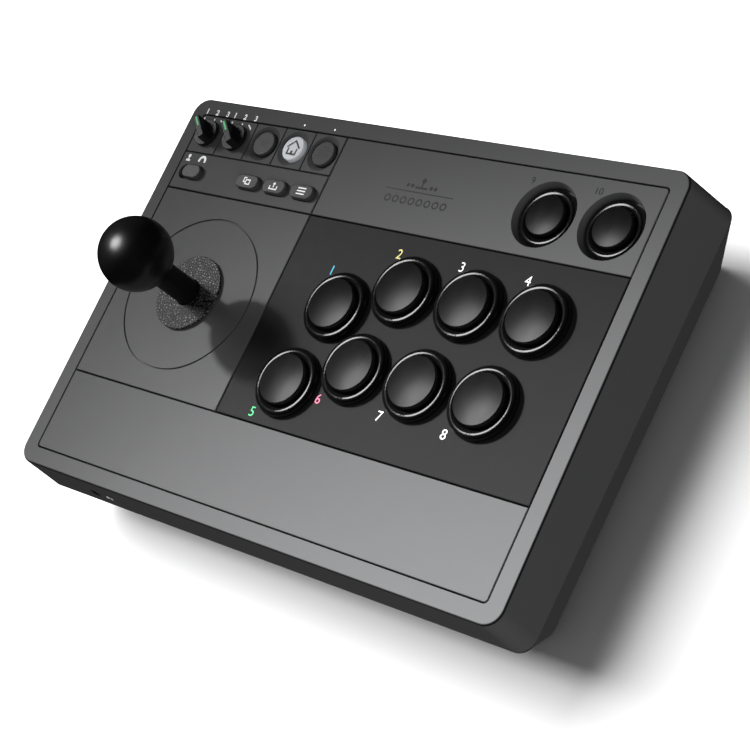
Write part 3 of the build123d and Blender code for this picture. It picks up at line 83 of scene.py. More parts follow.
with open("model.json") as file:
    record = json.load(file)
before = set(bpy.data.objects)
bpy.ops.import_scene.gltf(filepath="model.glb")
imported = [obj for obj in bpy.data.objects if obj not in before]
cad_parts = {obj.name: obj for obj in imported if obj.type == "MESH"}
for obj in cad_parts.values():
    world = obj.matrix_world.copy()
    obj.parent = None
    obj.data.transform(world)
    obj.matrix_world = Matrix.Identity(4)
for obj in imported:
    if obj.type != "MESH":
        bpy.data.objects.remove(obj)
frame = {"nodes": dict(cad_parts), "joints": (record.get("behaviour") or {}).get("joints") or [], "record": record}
cad_low, cad_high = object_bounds()
nodes = frame["nodes"]
joints = {joint["name"]: joint for joint in frame["joints"]}


def panel_matrix():
    """The top face's own frame: X right, Y back along the face, Z out of it, with the lever at Y = 0."""
    out = Vector(joints["mode_knob_turn"]["axis"])
    on_face = Vector(joints["mode_knob_turn"]["pos_m"])
    pivot = Vector(joints["lever_tilt_fore"]["pos_m"])
    origin = pivot + out * (on_face - pivot).dot(out)
    origin.x = 0.0
    across = Vector((1, 0, 0))
    matrix = Matrix((across, out.cross(across), out)).transposed().to_4x4()
    matrix.translation = origin
    return matrix


PANEL = panel_matrix()
FROM_PANEL = PANEL.inverted()


def centre(node):
    """Middle of a CAD node on the top face, in the face's own frame."""
    low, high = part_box(node)
    return FROM_PANEL @ ((low + high) / 2)


def top_of(node):
    """How far a CAD node's highest point stands above the top face."""
    return max((FROM_PANEL @ vertex.co).z for vertex in nodes[node].data.vertices)


# ---------------------------------------------------------------- materials
MATT_LEVEL = 0.15            # mirror strength of moulded plastic


def new_material(name):
    material = bpy.data.materials.new(name)
    material.use_nodes = True
    tree = material.node_tree
    shader = tree.nodes["Principled BSDF"]
    return material, tree, shader


def noise(tree, size, detail=2.0, stretch=(1, 1, 1)):
    """Noise whose lumps are about this many metres across, optionally drawn out along an axis."""
    place = tree.nodes.new("ShaderNodeTexCoord")
    mapping = tree.nodes.new("ShaderNodeMapping")
    mapping.inputs["Scale"].default_value = stretch
    tree.links.new(place.outputs["Object"], mapping.inputs["Vector"])
    texture = tree.nodes.new("ShaderNodeTexNoise")
    texture.inputs["Scale"].default_value = 1 / size
    texture.inputs["Detail"].default_value = detail
    tree.links.new(mapping.outputs["Vector"], texture.inputs["Vector"])
    return texture.outputs["Fac"]


def spread(tree, value, low, high, from_low=0.3, from_high=0.7):
    """The value taken from one span to another, and kept inside it."""
    node = tree.nodes.new("ShaderNodeMapRange")
    node.inputs["From Min"].default_value = from_low
    node.inputs["From Max"].default_value = from_high
    node.inputs["To Min"].default_value = low
    node.inputs["To Max"].default_value = high
    tree.links.new(value, node.inputs["Value"])
    return node.outputs["Result"]


def bump(tree, height, distance, strength, under=None):
    node = tree.nodes.new("ShaderNodeBump")
    node.inputs["Distance"].default_value = distance
    node.inputs["Strength"].default_value = strength
    tree.links.new(height, node.inputs["Height"])
    if under:
        tree.links.new(under, node.inputs["Normal"])
    return node.outputs["Normal"]


def shade(colour, factor):
    return (*(min(channel * factor, 1.0) for channel in colour), 1.0)


def two_colours(tree, factor, first, second):
    node = tree.nodes.new("ShaderNodeMix")
    node.data_type = "RGBA"
    tree.links.new(factor, node.inputs["Factor"])
    node.inputs["A"].default_value = first
    node.inputs["B"].default_value = second
    return node.outputs["Result"]


def worn_edges(tree, radius):
    """A rounded normal near sharp edges, and a mask that is 1 on them and 0 on flat faces."""
    bevel = tree.nodes.new("ShaderNodeBevel")
    bevel.samples = 4
    bevel.inputs["Radius"].default_value = radius
    geometry = tree.nodes.new("ShaderNodeNewGeometry")
    turned = tree.nodes.new("ShaderNodeVectorMath")
    turned.operation = "DOT_PRODUCT"
    tree.links.new(bevel.outputs["Normal"], turned.inputs[0])
    tree.links.new(geometry.outputs["Normal"], turned.inputs[1])
    return bevel.outputs["Normal"], spread(tree, turned.outputs["Value"], 1.0, 0.0, 0.90, 0.995)


def rounding_mask(tree):
    """1 on the rounding between the top face and the walls, 0 on both; it places the rim's painted shade."""
    geometry = tree.nodes.new("ShaderNodeNewGeometry")
    parts = tree.nodes.new("ShaderNodeSeparateXYZ")
    tree.links.new(geometry.outputs["Normal"], parts.inputs["Vector"])
    above_wall = spread(tree, parts.outputs["Z"], 0.0, 1.0, 0.12, 0.25)
    below_top = spread(tree, parts.outputs["Z"], 1.0, 0.0, 0.86, 0.97)
    both = tree.nodes.new("ShaderNodeMath")
    both.operation = "MULTIPLY"
    tree.links.new(above_wall, both.inputs[0])
    tree.links.new(below_top, both.inputs[1])
    return both.outputs["Value"]


def plastic(name, colour, roughness, grain=0.25 * MM, depth=0.012 * MM, edge=0.25 * MM, wear=1.25):
    """Moulded plastic: a fine grain, slow changes of colour and roughness, and edges of another shade."""
    material, tree, shader = new_material(name)
    rounded, on_edge = worn_edges(tree, edge)
    clouds = noise(tree, 14 * MM, 3.0)
    base = two_colours(tree, clouds, shade(colour, 0.98), shade(colour, 1.02))
    rubbed = tree.nodes.new("ShaderNodeMix")
    rubbed.data_type = "RGBA"
    tree.links.new(on_edge, rubbed.inputs["Factor"])
    tree.links.new(base, rubbed.inputs["A"])
    rubbed.inputs["B"].default_value = shade(colour, wear)
    tree.links.new(rubbed.outputs["Result"], shader.inputs["Base Color"])
    handled = noise(tree, 5 * MM, 4.0)
    tree.links.new(spread(tree, handled, roughness * 0.97, roughness * 1.03), shader.inputs["Roughness"])
    shader.inputs["Specular IOR Level"].default_value = MATT_LEVEL
    grained = bump(tree, noise(tree, grain, 3.0), depth, 0.7, rounded)
    tree.links.new(grained, shader.inputs["Normal"])
    return material


def rimmed(material, colour):
    """Adds a dark line of painted shade on the rounding of the rim to a plastic."""
    tree = material.node_tree
    shader = tree.nodes["Principled BSDF"]
    under = shader.inputs["Base Color"].links[0].from_socket
    shaded_rim = tree.nodes.new("ShaderNodeMix")
    shaded_rim.data_type = "RGBA"
    tree.links.new(rounding_mask(tree), shaded_rim.inputs["Factor"])
    tree.links.new(under, shaded_rim.inputs["A"])
    shaded_rim.inputs["B"].default_value = colour
    tree.links.new(shaded_rim.outputs["Result"], shader.inputs["Base Color"])
    return material


def polished(name, colour, roughness, coat=0.0, level=0.5, wave=0.004 * MM, edge=0.2 * MM):
    """Polished plastic: faint smears in the gloss, the slight waviness of a moulding, and a clear coat."""
    material, tree, shader = new_material(name)
    rounded, on_edge = worn_edges(tree, edge)
    base = two_colours(tree, on_edge, shade(colour, 1), shade(colour, 1.6))
    tree.links.new(base, shader.inputs["Base Color"])
    smears = noise(tree, 6 * MM, 5.0, (1, 0.4, 1))
    tree.links.new(spread(tree, smears, roughness * 0.9, roughness * 1.1), shader.inputs["Roughness"])
    shader.inputs["Specular IOR Level"].default_value = level
    shader.inputs["Coat Weight"].default_value = coat
    shader.inputs["Coat Roughness"].default_value = 0.05
    tree.links.new(bump(tree, noise(tree, 3 * MM, 1.0), wave, 0.4, rounded), shader.inputs["Normal"])
    return material


def metal(name, colour, roughness, stretch=(1, 14, 14)):
    """Plated steel with a brushed direction and small stains."""
    material, tree, shader = new_material(name)
    rounded, on_edge = worn_edges(tree, 0.15 * MM)
    brushed = noise(tree, 1.2 * MM, 4.0, stretch)
    stains = noise(tree, 9 * MM, 4.0)
    base = two_colours(tree, stains, shade(colour, 0.86), shade(colour, 1.05))
    tree.links.new(base, shader.inputs["Base Color"])
    shader.inputs["Metallic"].default_value = 1.0
    tree.links.new(spread(tree, brushed, roughness * 0.75, roughness * 1.3), shader.inputs["Roughness"])
    tree.links.new(bump(tree, brushed, 0.01 * MM, 0.5, rounded), shader.inputs["Normal"])
    return material


def leathery(name, colour, roughness, cell=0.9 * MM):
    """Vinyl with a pebbled leather grain: raised cells between creases, with painted shade darkening the creases
    and painted light brightening the raised cells.
    """
    material, tree, shader = new_material(name)
    place = tree.nodes.new("ShaderNodeTexCoord")
    cells = tree.nodes.new("ShaderNodeTexVoronoi")
    cells.feature = "DISTANCE_TO_EDGE"
    cells.inputs["Scale"].default_value = 1 / cell
    cells.inputs["Randomness"].default_value = 1.0
    tree.links.new(place.outputs["Object"], cells.inputs["Vector"])
    grain_and_crease_shade = spread(tree, cells.outputs["Distance"], 0.0, 1.0, 0.08, 0.38)
    # painted shade and light: the creases are painted near black and the cells several times lighter than the
    # vinyl
    base = two_colours(tree, grain_and_crease_shade, shade(colour, 0.05), shade(colour, 4.5))
    tree.links.new(base, shader.inputs["Base Color"])
    rubbed = spread(tree, grain_and_crease_shade, roughness * 1.2, roughness * 0.8, 0.0, 1.0)
    tree.links.new(rubbed, shader.inputs["Roughness"])
    fine = bump(tree, noise(tree, 0.2 * MM, 3.0), 0.03 * MM, 0.5)
    tree.links.new(bump(tree, grain_and_crease_shade, 0.16 * MM, 0.9, fine), shader.inputs["Normal"])
    return material


def lit(name, colour, strength):
    """Milky plastic that a lamp behind it lights up, brighter in the middle of its clouds."""
    material, tree, shader = new_material(name)
    clouds = noise(tree, 4 * MM, 2.0)
    glow = two_colours(tree, clouds, shade(colour, 0.9), shade(colour, 1.0))
    tree.links.new(glow, shader.inputs["Base Color"])
    tree.links.new(glow, shader.inputs["Emission Color"])
    shader.inputs["Emission Strength"].default_value = strength
    tree.links.new(spread(tree, noise(tree, 2 * MM), 0.2, 0.35), shader.inputs["Roughness"])
    tree.links.new(bump(tree, noise(tree, 0.6 * MM), 0.004 * MM, 0.4), shader.inputs["Normal"])
    return material


def ink(name, colour, glow=0.0):
    """Screen-printed ink: thin, slightly uneven and matt, with a painted glow of its own strength that brightens
    it though no lamp lights it.
    """
    material, tree, shader = new_material(name)
    spots = noise(tree, 0.35 * MM, 4.0)
    printed = two_colours(tree, spots, shade(colour, 0.88), shade(colour, 1.0))
    tree.links.new(printed, shader.inputs["Base Color"])
    tree.links.new(printed, shader.inputs["Emission Color"])
    # painted light: the ink glows, though it is no lamp
    shader.inputs["Emission Strength"].default_value = glow
    tree.links.new(spread(tree, spots, 0.45, 0.65), shader.inputs["Roughness"])
    tree.links.new(bump(tree, spots, 0.01 * MM, 0.5), shader.inputs["Normal"])
    return material


MATERIALS = {
    # The shell's plastic gets a painted dark line of shade on the rim's rounding.
    "shell_grey": rimmed(plastic("shell_grey", (0.118, 0.119, 0.121), 0.55), (0.02, 0.02, 0.02, 1)),
    "panel_grey": plastic("panel_grey", (0.118, 0.119, 0.121), 0.55, grain=0.18 * MM),
    "panel_charcoal": plastic("panel_charcoal", (0.022, 0.022, 0.0225), 0.55, grain=0.18 * MM),
    "gloss_black": polished("gloss_black", (0.006, 0.006, 0.0065), 0.30, level=0.2),
    "satin_black": plastic("satin_black", (0.012, 0.012, 0.013), 0.36, grain=0.3 * MM),
    "button_grey": plastic("button_grey", (0.068, 0.068, 0.070), 0.38, grain=0.2 * MM),
    "lit_white": lit("lit_white", (0.62, 0.64, 0.68), 0.22),
    # The washer's grain carries painted shade in its creases and painted light on its cells.
    "washer_black": leathery("washer_black", (0.045, 0.045, 0.046), 0.5, cell=1.25 * MM),
    "clear_light": lit("clear_light", (0.95, 0.97, 1.0), 0.7),
    "steel": metal("steel", (0.56, 0.57, 0.58), 0.32),
    "screw_steel": metal("screw_steel", (0.10, 0.10, 0.105), 0.38, (6, 6, 1)),
    "inner_black": plastic("inner_black", (0.02, 0.02, 0.02), 0.5),
    "pivot_white": plastic("pivot_white", (0.72, 0.72, 0.70), 0.35, wear=1.05),
    "circuit_green": plastic("circuit_green", (0.012, 0.09, 0.035), 0.3, grain=0.5 * MM),
    "switch_black": plastic("switch_black", (0.012, 0.012, 0.013), 0.45),
    "battery_blue": polished("battery_blue", (0.02, 0.05, 0.2), 0.25, coat=0.6),
    "rubber": plastic("rubber", (0.014, 0.014, 0.014), 0.75, grain=0.4 * MM, depth=0.03 * MM),
    "port_steel": metal("port_steel", (0.62, 0.62, 0.63), 0.25, (8, 1, 8)),
}
INKS = {
    # The light inks get a painted glow; the dark ink has none.
    "ink_white": ink("ink_white", (0.86, 0.87, 0.88), 0.55),
    "ink_cyan": ink("ink_cyan", (0.09, 0.62, 0.85), 0.30),
    "ink_yellow": ink("ink_yellow", (0.88, 0.80, 0.30), 0.30),
    "ink_green": ink("ink_green", (0.10, 0.72, 0.28), 0.30),
    "ink_pink": ink("ink_pink", (0.86, 0.22, 0.34), 0.30),
    "ink_dark": ink("ink_dark", (0.012, 0.012, 0.013)),
}

BEZEL = polished("bezel_gloss", (0.004, 0.004, 0.0045), 0.18)
OWN_MATERIALS = {
    "ball_top": polished("ball_gloss", (0.005, 0.005, 0.0055), 0.31, level=0.6),
    "shaft_cover": plastic("shaft_black", (0.006, 0.006, 0.0065), 0.42, grain=0.5 * MM, depth=0.05 * MM),
    "button_bezels_30mm": BEZEL,
    "button_bezels_24mm": BEZEL,
}

for subpart in frame["record"]["subparts"]:
    mesh = nodes[subpart["node"]].data
    mesh.materials.clear()
    mesh.materials.append(OWN_MATERIALS.get(subpart["node"], MATERIALS[subpart["material_slot"]]))


# ---------------------------------------------------------------- printed marks
def finished_mark(name, body, slot, mesh_edit, height=0.0, plane=PANEL):
    """Turns flat faces into a thin layer of ink at a height over a plane, and lets it ride on a body."""
    bmesh.ops.recalc_face_normals(mesh_edit, faces=mesh_edit.faces)
    for face in mesh_edit.faces:
        if face.normal.z < 0:
            face.normal_flip()
    sides = bmesh.ops.extrude_face_region(mesh_edit, geom=mesh_edit.faces[:])
    lifted = [item for item in sides["geom"] if isinstance(item, bmesh.types.BMVert)]
    bmesh.ops.translate(mesh_edit, verts=lifted, vec=(0, 0, INK_THICKNESS))
    bmesh.ops.recalc_face_normals(mesh_edit, faces=mesh_edit.faces)
    mesh_edit.transform(plane @ Matrix.Translation((0, 0, height - INK_LIFT)))
    mesh = bpy.data.meshes.new(name)
    mesh_edit.to_mesh(mesh)
    mesh_edit.free()
    piece = bpy.data.objects.new(name, mesh)
    bpy.context.scene.collection.objects.link(piece)
    mesh.materials.append(INKS[slot])
    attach(piece, body)
    return piece


def add_ribbon(mesh_edit, points, width, closed=False):
    """A flat band of constant width along a path, mitred where the path turns."""
    count = len(points)
    rows = []
    for index, (x, y) in enumerate(points):
        before = points[index - 1] if index or closed else None
        after = points[(index + 1) % count] if index < count - 1 or closed else None
        ways = []
        if before:
            ways.append(Vector((x - before[0], y - before[1])).normalized())
        if after:
            ways.append(Vector((after[0] - x, after[1] - y)).normalized())
        along = sum(ways, Vector((0, 0))).normalized()
        side = Vector((-along.y, along.x))
        reach = width / 2 / max(side.dot(Vector((-ways[0].y, ways[0].x))), 0.3)
        ends = [(x + side.x * edge, y + side.y * edge, 0) for edge in (-reach, reach)]
        rows.append([mesh_edit.verts.new(end) for end in ends])
    for index in range(count if closed else count - 1):
        low, high = rows[index], rows[(index + 1) % count]
        mesh_edit.faces.new((low[0], high[0], high[1], low[1]))


def add_polygon(mesh_edit, points):
    mesh_edit.faces.new([mesh_edit.verts.new((x, y, 0)) for x, y in points])


def arc(x, y, radius, start, end, steps=24):
    """Points along a circle from one angle to another."""
    angles = [radians(start + (end - start) * step / steps) for step in range(steps + 1)]
    return [(x + radius * cos(angle), y + radius * sin(angle)) for angle in angles]


def circle(x, y, radius, steps=32):
    return arc(x, y, radius, 0, 360 - 360 / steps, steps - 1)


def moved(points, x, y, scale=1.0):
    return [(x + px * scale, y + py * scale) for px, py in points]


def number(name, text, x, y, height, slot, bold=0.0):
    """A printed number, centred at a point on the top face."""
    curve = bpy.data.curves.new(name, "FONT")
    curve.body = text
    curve.resolution_u = 8
    curve.offset = bold
    letters = bpy.data.objects.new(name, curve)
    bpy.context.scene.collection.objects.link(letters)
    bpy.context.view_layer.update()
    graph = bpy.context.evaluated_depsgraph_get()
    flat = bpy.data.meshes.new_from_object(letters.evaluated_get(graph))
    mesh_edit = bmesh.new()
    mesh_edit.from_mesh(flat)
    bpy.data.objects.remove(letters)
    bpy.data.curves.remove(curve)
    bpy.data.meshes.remove(flat)
    bmesh.ops.remove_doubles(mesh_edit, verts=mesh_edit.verts, dist=1e-5)
    low = [min(vertex.co[axis] for vertex in mesh_edit.verts) for axis in (0, 1)]
    high = [max(vertex.co[axis] for vertex in mesh_edit.verts) for axis in (0, 1)]
    size = height / (high[1] - low[1])
    to_middle = Matrix.Translation((-(low[0] + high[0]) / 2, -(low[1] + high[1]) / 2, 0))
    mesh_edit.transform(Matrix.Translation((x, y, 0)) @ Matrix.Diagonal((size, size, 1, 1)) @ to_middle)
    return finished_mark(name, "root", slot, mesh_edit)


def button_numbers():
    back_row = ["ink_cyan", "ink_yellow", "ink_white", "ink_white"]
    front_row = ["ink_green", "ink_pink", "ink_white", "ink_white"]
    slots = back_row + front_row
    for index, slot in enumerate(slots, start=1):
        middle = centre(f"button_cap_{index}")
        shift = NUMBER_ABOVE if index <= len(back_row) else NUMBER_BELOW
        at = (middle.x + shift[0], middle.y + shift[1])
        number(f"button_number_{index}", str(index), *at, NUMBER_HEIGHT, slot)
    for index, side in enumerate(("left", "right"), start=len(slots) + 1):
        middle = centre(f"stick_click_cap_{side}")
        at = (middle.x + SMALL_NUMBER_OFFSET[0], middle.y + SMALL_NUMBER_OFFSET[1])
        number(f"button_number_{index}", str(index), *at, SMALL_NUMBER_HEIGHT, "ink_dark")


def mark(name, slot, body="root", height=0.0, ribbons=(), polygons=(), plane=PANEL):
    """One printed mark made of bands, each (points, width, closed), and filled outlines."""
    mesh_edit = bmesh.new()
    for points, width, closed in ribbons:
        add_ribbon(mesh_edit, points, width, closed)
    for points in polygons:
        add_polygon(mesh_edit, points)
    return finished_mark(name, body, slot, mesh_edit, height, plane)


def rectangle(x, y, length, width):
    return [
        (x - length / 2, y - width / 2),
        (x + length / 2, y - width / 2),
        (x + length / 2, y + width / 2),
        (x - length / 2, y + width / 2),
    ]


def nameplate_marks():
    """A plain lever emblem over a ruled line, with a row of eight rings under it."""
    middle_x = 15.3 * MM
    emblem_y = 75.3 * MM
    stud_radius = 0.95 * MM
    stud_start = 5.5 * MM
    stud_pitch = 2.6 * MM
    ball = circle(middle_x, emblem_y + 1.5 * MM, 1.25 * MM)
    shaft = rectangle(middle_x, emblem_y - 0.6 * MM, 0.7 * MM, 2.2 * MM)
    base = rectangle(middle_x, emblem_y - 2.2 * MM, 7.0 * MM, 1.0 * MM)
    studs = [
        circle(middle_x + side * (stud_start + stud_pitch * place), emblem_y - 1.6 * MM, stud_radius)
        for side in (-1, 1)
        for place in range(2)
    ]
    mark("nameplate_emblem", "ink_dark", polygons=[ball, shaft, base, *studs])
    rule_y = 70.75 * MM
    rule_length = 39.6 * MM
    mark("nameplate_rule", "ink_dark", polygons=[rectangle(middle_x, rule_y, rule_length, RULE_STROKE)])
    rings_y = 66.1 * MM
    ring_radius = 1.5 * MM
    ring_pitch = 4.7 * MM
    ring_count = 8
    first_x = middle_x - (ring_count - 1) / 2 * ring_pitch
    rings = [circle(first_x + place * ring_pitch, rings_y, ring_radius) for place in range(ring_count)]
    mark("nameplate_dots", "ink_dark", ribbons=[(ring, RING_STROKE, True) for ring in rings])


def knob_marks():
    """Two straight ticks and a curved one round each knob, and a digit over each of them."""
    tick_y = 89.75 * MM
    tick_length = 1.3 * MM
    tick_shifts = (-7.6 * MM, -0.4 * MM)
    curve_shift = -0.4 * MM
    curve_y = 81.9 * MM
    curve_radius = 9.2 * MM
    digits_y = 93.9 * MM
    digit_shifts = (-7.7 * MM, -0.5 * MM, 6.9 * MM)
    ticks = []
    for node in KNOBS:
        middle = centre(node).x
        ticks += [rectangle(middle + shift, tick_y, STROKE, tick_length) for shift in tick_shifts]
        curved = arc(middle + curve_shift, curve_y, curve_radius, 62, 40, 6)
        mark(f"{node}_last_tick", "ink_white", ribbons=[(curved, STROKE, False)])
    mark("knob_ticks", "ink_white", polygons=ticks)
    for node in KNOBS:
        middle = centre(node).x
        for place, shift in enumerate(digit_shifts, start=1):
            name = f"{node}_number_{place}"
            at = (middle + shift, digits_y)
            number(name, str(place), *at, TINY_NUMBER_HEIGHT, "ink_white", TINY_BOLD)


def slide_marks():
    """Over the slide switch, a lever at its left end and a hand-held pad at its right end."""
    signs_y = 67.8 * MM
    stick_x = -135.0 * MM
    stick = [
        circle(stick_x, signs_y + 1.1 * MM, 0.9 * MM),
        rectangle(stick_x, signs_y - 0.1 * MM, 0.7 * MM, 1.4 * MM),
        rectangle(stick_x, signs_y - 1.3 * MM, 2.8 * MM, 1.0 * MM),
    ]
    mark("slide_sign_lever", "ink_white", polygons=stick)
    pad_x = -125.25 * MM
    pad_half = 2.1 * MM
    pad_low = signs_y - 1.3 * MM
    pad_stroke = 1.25 * MM
    hump = arc(pad_x, signs_y - 0.3 * MM, 1.9 * MM, 165, 15, 12)
    outline = [(pad_x - pad_half, pad_low), *hump, (pad_x + pad_half, pad_low)]
    mark("slide_sign_pad", "ink_white", ribbons=[(outline, pad_stroke, False)])


def pill_marks():
    """White signs on the three long buttons: two sheets, an arrow out of a tray, and three bars."""
    back_sheet = [(-0.6, 1.6), (-2.2, 1.6), (-2.2, -0.6), (-1.0, -0.6)]
    front_sheet = [(-0.6, -1.6), (2.0, -1.6), (2.0, 0.6), (-0.6, 0.6)]
    tray = [(-2.3, 0.0), (-2.3, -1.7), (2.3, -1.7), (2.3, 0.0)]
    arrow_shaft = [(0, -0.8), (0, 1.0)]
    arrow_head = [(-1.0, 0.9), (1.0, 0.9), (0, 2.0)]
    bar_length = 5.2 * MM
    bar_rises = (-1.5 * MM, 0.0, 1.5 * MM)
    for node in ("view_button", "share_button", "menu_button"):
        middle = centre(node)
        at = (middle.x, middle.y, MM)
        ribbons, polygons = [], []
        if node == "view_button":
            ribbons.append((moved(back_sheet, *at), STROKE, False))
            ribbons.append((moved(front_sheet, *at), STROKE, True))
        elif node == "share_button":
            ribbons.append((moved(tray, *at), STROKE, False))
            ribbons.append((moved(arrow_shaft, *at), STROKE, False))
            polygons.append(moved(arrow_head, *at))
        else:
            polygons += [rectangle(middle.x, middle.y + rise, bar_length, STROKE) for rise in bar_rises]
        mark(f"{node}_sign", "ink_white", node, top_of(node), ribbons, polygons)


def round_marks():
    """A star, a house and a field of dots on the three round buttons."""
    middle = centre("star_button")
    tip_radius = 3.4 * MM
    notch_radius = 1.5 * MM
    tips = []
    for point in range(10):
        angle = radians(90 + 36 * point)
        radius = tip_radius if point % 2 == 0 else notch_radius
        tips.append((middle.x + radius * cos(angle), middle.y + radius * sin(angle)))
    mark("star_button_sign", "ink_dark", "star_button", top_of("star_button"), polygons=[tips])
    middle = centre("home_button")
    roof = moved([(-4.0, 0.2), (0, 3.9), (4.0, 0.2)], middle.x, middle.y, MM)
    walls = moved([(-2.7, 0.0), (-2.7, -3.2), (2.7, -3.2), (2.7, 0.0)], middle.x, middle.y, MM)
    door = rectangle(middle.x, middle.y - 2.2 * MM, 1.3 * MM, 1.6 * MM)
    bands = [(roof, BROAD_STROKE, False), (walls, BROAD_STROKE, False)]
    mark("home_button_sign", "ink_dark", "home_button", top_of("home_button"), bands, [door])
    middle = centre("profile_button")
    spot_pitch = 1.5 * MM
    spot_radius = 0.42 * MM
    spots = []
    for row in range(-2, 3):
        half = 2 if abs(row) < 2 else 1
        for place in range(-half, half + 1):
            at = (middle.x + place * spot_pitch, middle.y + row * spot_pitch)
            spots.append(circle(*at, spot_radius, 16))
    mark("profile_button_sign", "ink_dark", "profile_button", top_of("profile_button"), polygons=spots)


def knob_pointers():
    """A green line along each knob's fin, from near the middle to the pointed end."""
    way = Vector((cos(radians(135)), sin(radians(135))))
    inner = 0.6 * MM
    outer = 6.6 * MM
    for node in KNOBS:
        middle = FROM_PANEL @ Vector(joints[f"{node}_turn"]["pos_m"])
        line = [tuple(middle.to_2d() + way * reach) for reach in (inner, outer)]
        mark(f"{node}_pointer", "ink_green", node, top_of(node), [(line, BROAD_STROKE, False)])


def headphone_mark():
    """A small pair of headphones on the front wall, to the right of the socket."""
    to_right = 10 * MM
    in_front = 100 * MM
    low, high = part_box("headphone_jack")
    beside = Vector(((low.x + high.x) / 2 + to_right, low.y - in_front, (low.z + high.z) / 2))
    _, place, out, _ = nodes["top_housing"].ray_cast(beside, Vector((0, 1, 0)))
    across = Vector((1, 0, 0))
    wall = Matrix((across, out.cross(across), out)).transposed().to_4x4()
    wall.translation = place
    band_radius = 1.4 * MM
    band_stroke = 0.45 * MM
    band = arc(0, 0, band_radius, 0, 180, 12)
    pads = [rectangle(side * band_radius, -0.5 * MM, 0.9 * MM, 1.5 * MM) for side in (-1, 1)]
    mark("headphone_sign", "ink_white", ribbons=[(band, band_stroke, False)], polygons=pads, plane=wall)


button_numbers()
headphone_mark()
nameplate_marks()
knob_marks()
slide_marks()
pill_marks()
round_marks()
knob_pointers()


# ---------------------------------------------------------------- floor, light and camera
def studio_floor():
    """A plain white floor. Its lamp lights nothing else, and glossy parts don't mirror it."""
    mesh_edit = bmesh.new()
    bmesh.ops.create_grid(mesh_edit, x_segments=2, y_segments=2, size=4.0)
    mesh = bpy.data.meshes.new("floor")
    mesh_edit.to_mesh(mesh)
    mesh_edit.free()
    floor = bpy.data.objects.new("floor", mesh)
    bpy.context.scene.collection.objects.link(floor)
    material, tree, shader = new_material("floor_paper")
    shader.inputs["Roughness"].default_value = 0.9
    shader.inputs["Specular IOR Level"].default_value = 0.0
    fibres = noise(tree, 2 * MM, 3.0)
    paper = two_colours(tree, fibres, (0.90, 0.90, 0.90, 1), (0.92, 0.92, 0.92, 1))
    tree.links.new(paper, shader.inputs["Base Color"])
    mesh.materials.append(material)
    floor.visible_glossy = False
    floor.visible_diffuse = False
    return floor


def direction(azimuth, elevation):
    """The unit vector at an azimuth from +X towards +Y and an elevation above the ground."""
    flat = cos(radians(elevation))
    return Vector((cos(radians(azimuth)) * flat, sin(radians(azimuth)) * flat, sin(radians(elevation))))


def aimed(name, data, aim, azimuth, elevation, distance):
    """Places a lamp so that it faces a point from a direction."""
    lamp = bpy.data.objects.new(name, data)
    bpy.context.scene.collection.objects.link(lamp)
    way = direction(azimuth, elevation)
    lamp.rotation_mode = "QUATERNION"
    lamp.rotation_quaternion = (-way).to_track_quat("-Z", "Y")
    lamp.location = aim + way * distance
    return lamp


def soft_box(name, aim, azimuth, elevation, distance, width, height, power):
    data = bpy.data.lights.new(name, "AREA")
    data.shape = "RECTANGLE"
    data.size = width
    data.size_y = height
    data.energy = power
    return aimed(name, data, aim, azimuth, elevation, distance)


def spot(name, aim, azimuth, elevation, distance, cone, radius, power):
    data = bpy.data.lights.new(name, "SPOT")
    data.spot_size = radians(cone)
    data.spot_blend = 1.0
    data.shadow_soft_size = radius
    data.energy = power
    return aimed(name, data, aim, azimuth, elevation, distance)


def lights_only(lamps, name, lit_objects, state):
    """Limits lamps to the given objects, or to everything but them."""
    group = bpy.data.collections.new(name)
    for item in lit_objects:
        group.objects.link(item)
    for entry in group.collection_objects:
        entry.light_linking.link_state = state
    for lamp in lamps:
        lamp.light_linking.receiver_collection = group


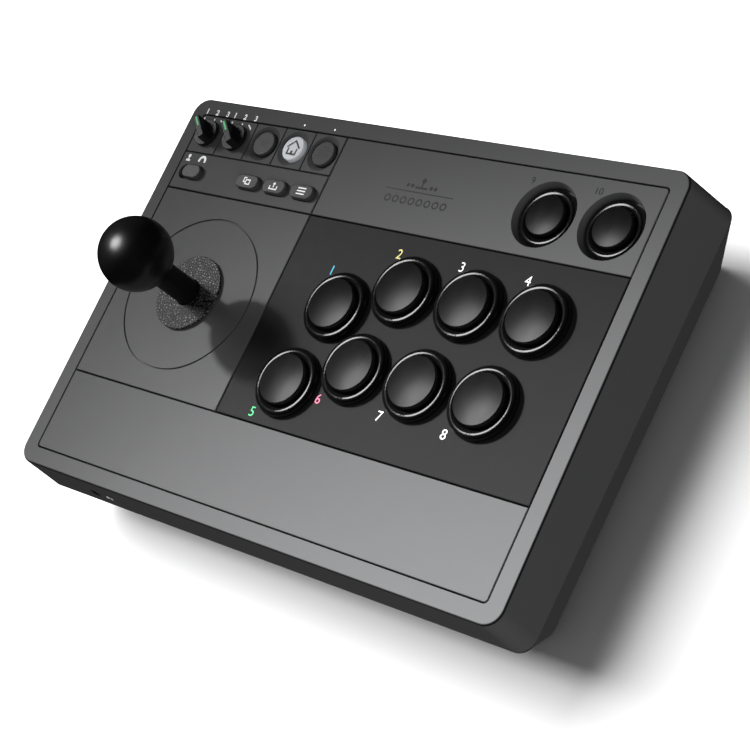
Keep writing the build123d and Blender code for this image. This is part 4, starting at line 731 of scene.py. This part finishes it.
def studio_light(floor):
    """A spot at the left, boxes that the glossy parts mirror, weak fills, and the floor's own lamp."""
    middle = (cad_low + cad_high) / 2
    ball_low, ball_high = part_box("ball_top")
    ball = (ball_low + ball_high) / 2
    beam_aim = PANEL @ Vector(BEAM_AIM)
    key = spot("key", ball, 166.1, 38.4, KEY_DISTANCE, KEY_CONE, 0.08, 1600)
    key.rotation_quaternion = (beam_aim - key.location).to_track_quat("-Z", "Y")
    key.visible_glossy = False
    sheen = soft_box("sheen", middle, 187, 65, GLOSS_DISTANCE, 0.8, 0.8, 25)
    sheen.data.shape = "DISK"
    sheen.visible_diffuse = False
    wash = soft_box("wash", middle, 172, 35, GLOSS_DISTANCE, 0.6, 0.5, 11)
    wash.visible_diffuse = False
    fill = soft_box("fill", middle, -35, 22, FILL_DISTANCE, FILL_WIDTH, 0.8, 7)
    low_fill = soft_box("low_fill", middle, -60, 4, FILL_DISTANCE, FILL_WIDTH, 0.3, 3)
    back_fill = soft_box("back_fill", middle, 140, 4, FILL_DISTANCE, FILL_WIDTH, 0.3, 14)
    fills = [fill, low_fill, back_fill]
    for lamp in fills:
        lamp.visible_glossy = False
    floor_key = soft_box("floor_key", middle, 163, 52, KEY_DISTANCE, 2.2, 2.2, 150)
    subparts = frame["record"]["subparts"]
    glossy = [nodes[item["node"]] for item in subparts if item["material_slot"] == "gloss_black"]
    lights_only([floor_key], "floor_only", [floor], "INCLUDE")
    lights_only([key, *fills], "not_the_floor", [floor], "EXCLUDE")
    lights_only([sheen], "glossy_only", glossy, "INCLUDE")
    lights_only([wash], "not_the_gloss", [floor, *glossy], "EXCLUDE")
    world = bpy.data.worlds.new("studio")
    world.use_nodes = True
    backdrop = world.node_tree.nodes["Background"]
    backdrop.inputs["Color"].default_value = (1.0, 1.0, 1.0, 1)
    backdrop.inputs["Strength"].default_value = DAYLIGHT
    world.cycles_visibility.glossy = False
    bpy.context.scene.world = world
    bpy.context.scene.view_settings.view_transform = "Standard"


def camera():
    data = bpy.data.cameras.new("camera")
    data.lens = CAMERA_LENS
    data.sensor_width = SENSOR_WIDTH
    data.clip_end = 20.0
    item = bpy.data.objects.new("camera", data)
    bpy.context.scene.collection.objects.link(item)
    way = direction(CAMERA_AZIMUTH, CAMERA_ELEVATION)
    place = Matrix.Translation(CAMERA_AIM + way * CAMERA_DISTANCE)
    upright = (-way).to_track_quat("-Z", "Y").to_matrix().to_4x4()
    item.matrix_world = place @ upright @ Matrix.Rotation(radians(-CAMERA_ROLL), 4, "Z")
    bpy.context.scene.camera = item


studio_light(studio_floor())
camera()
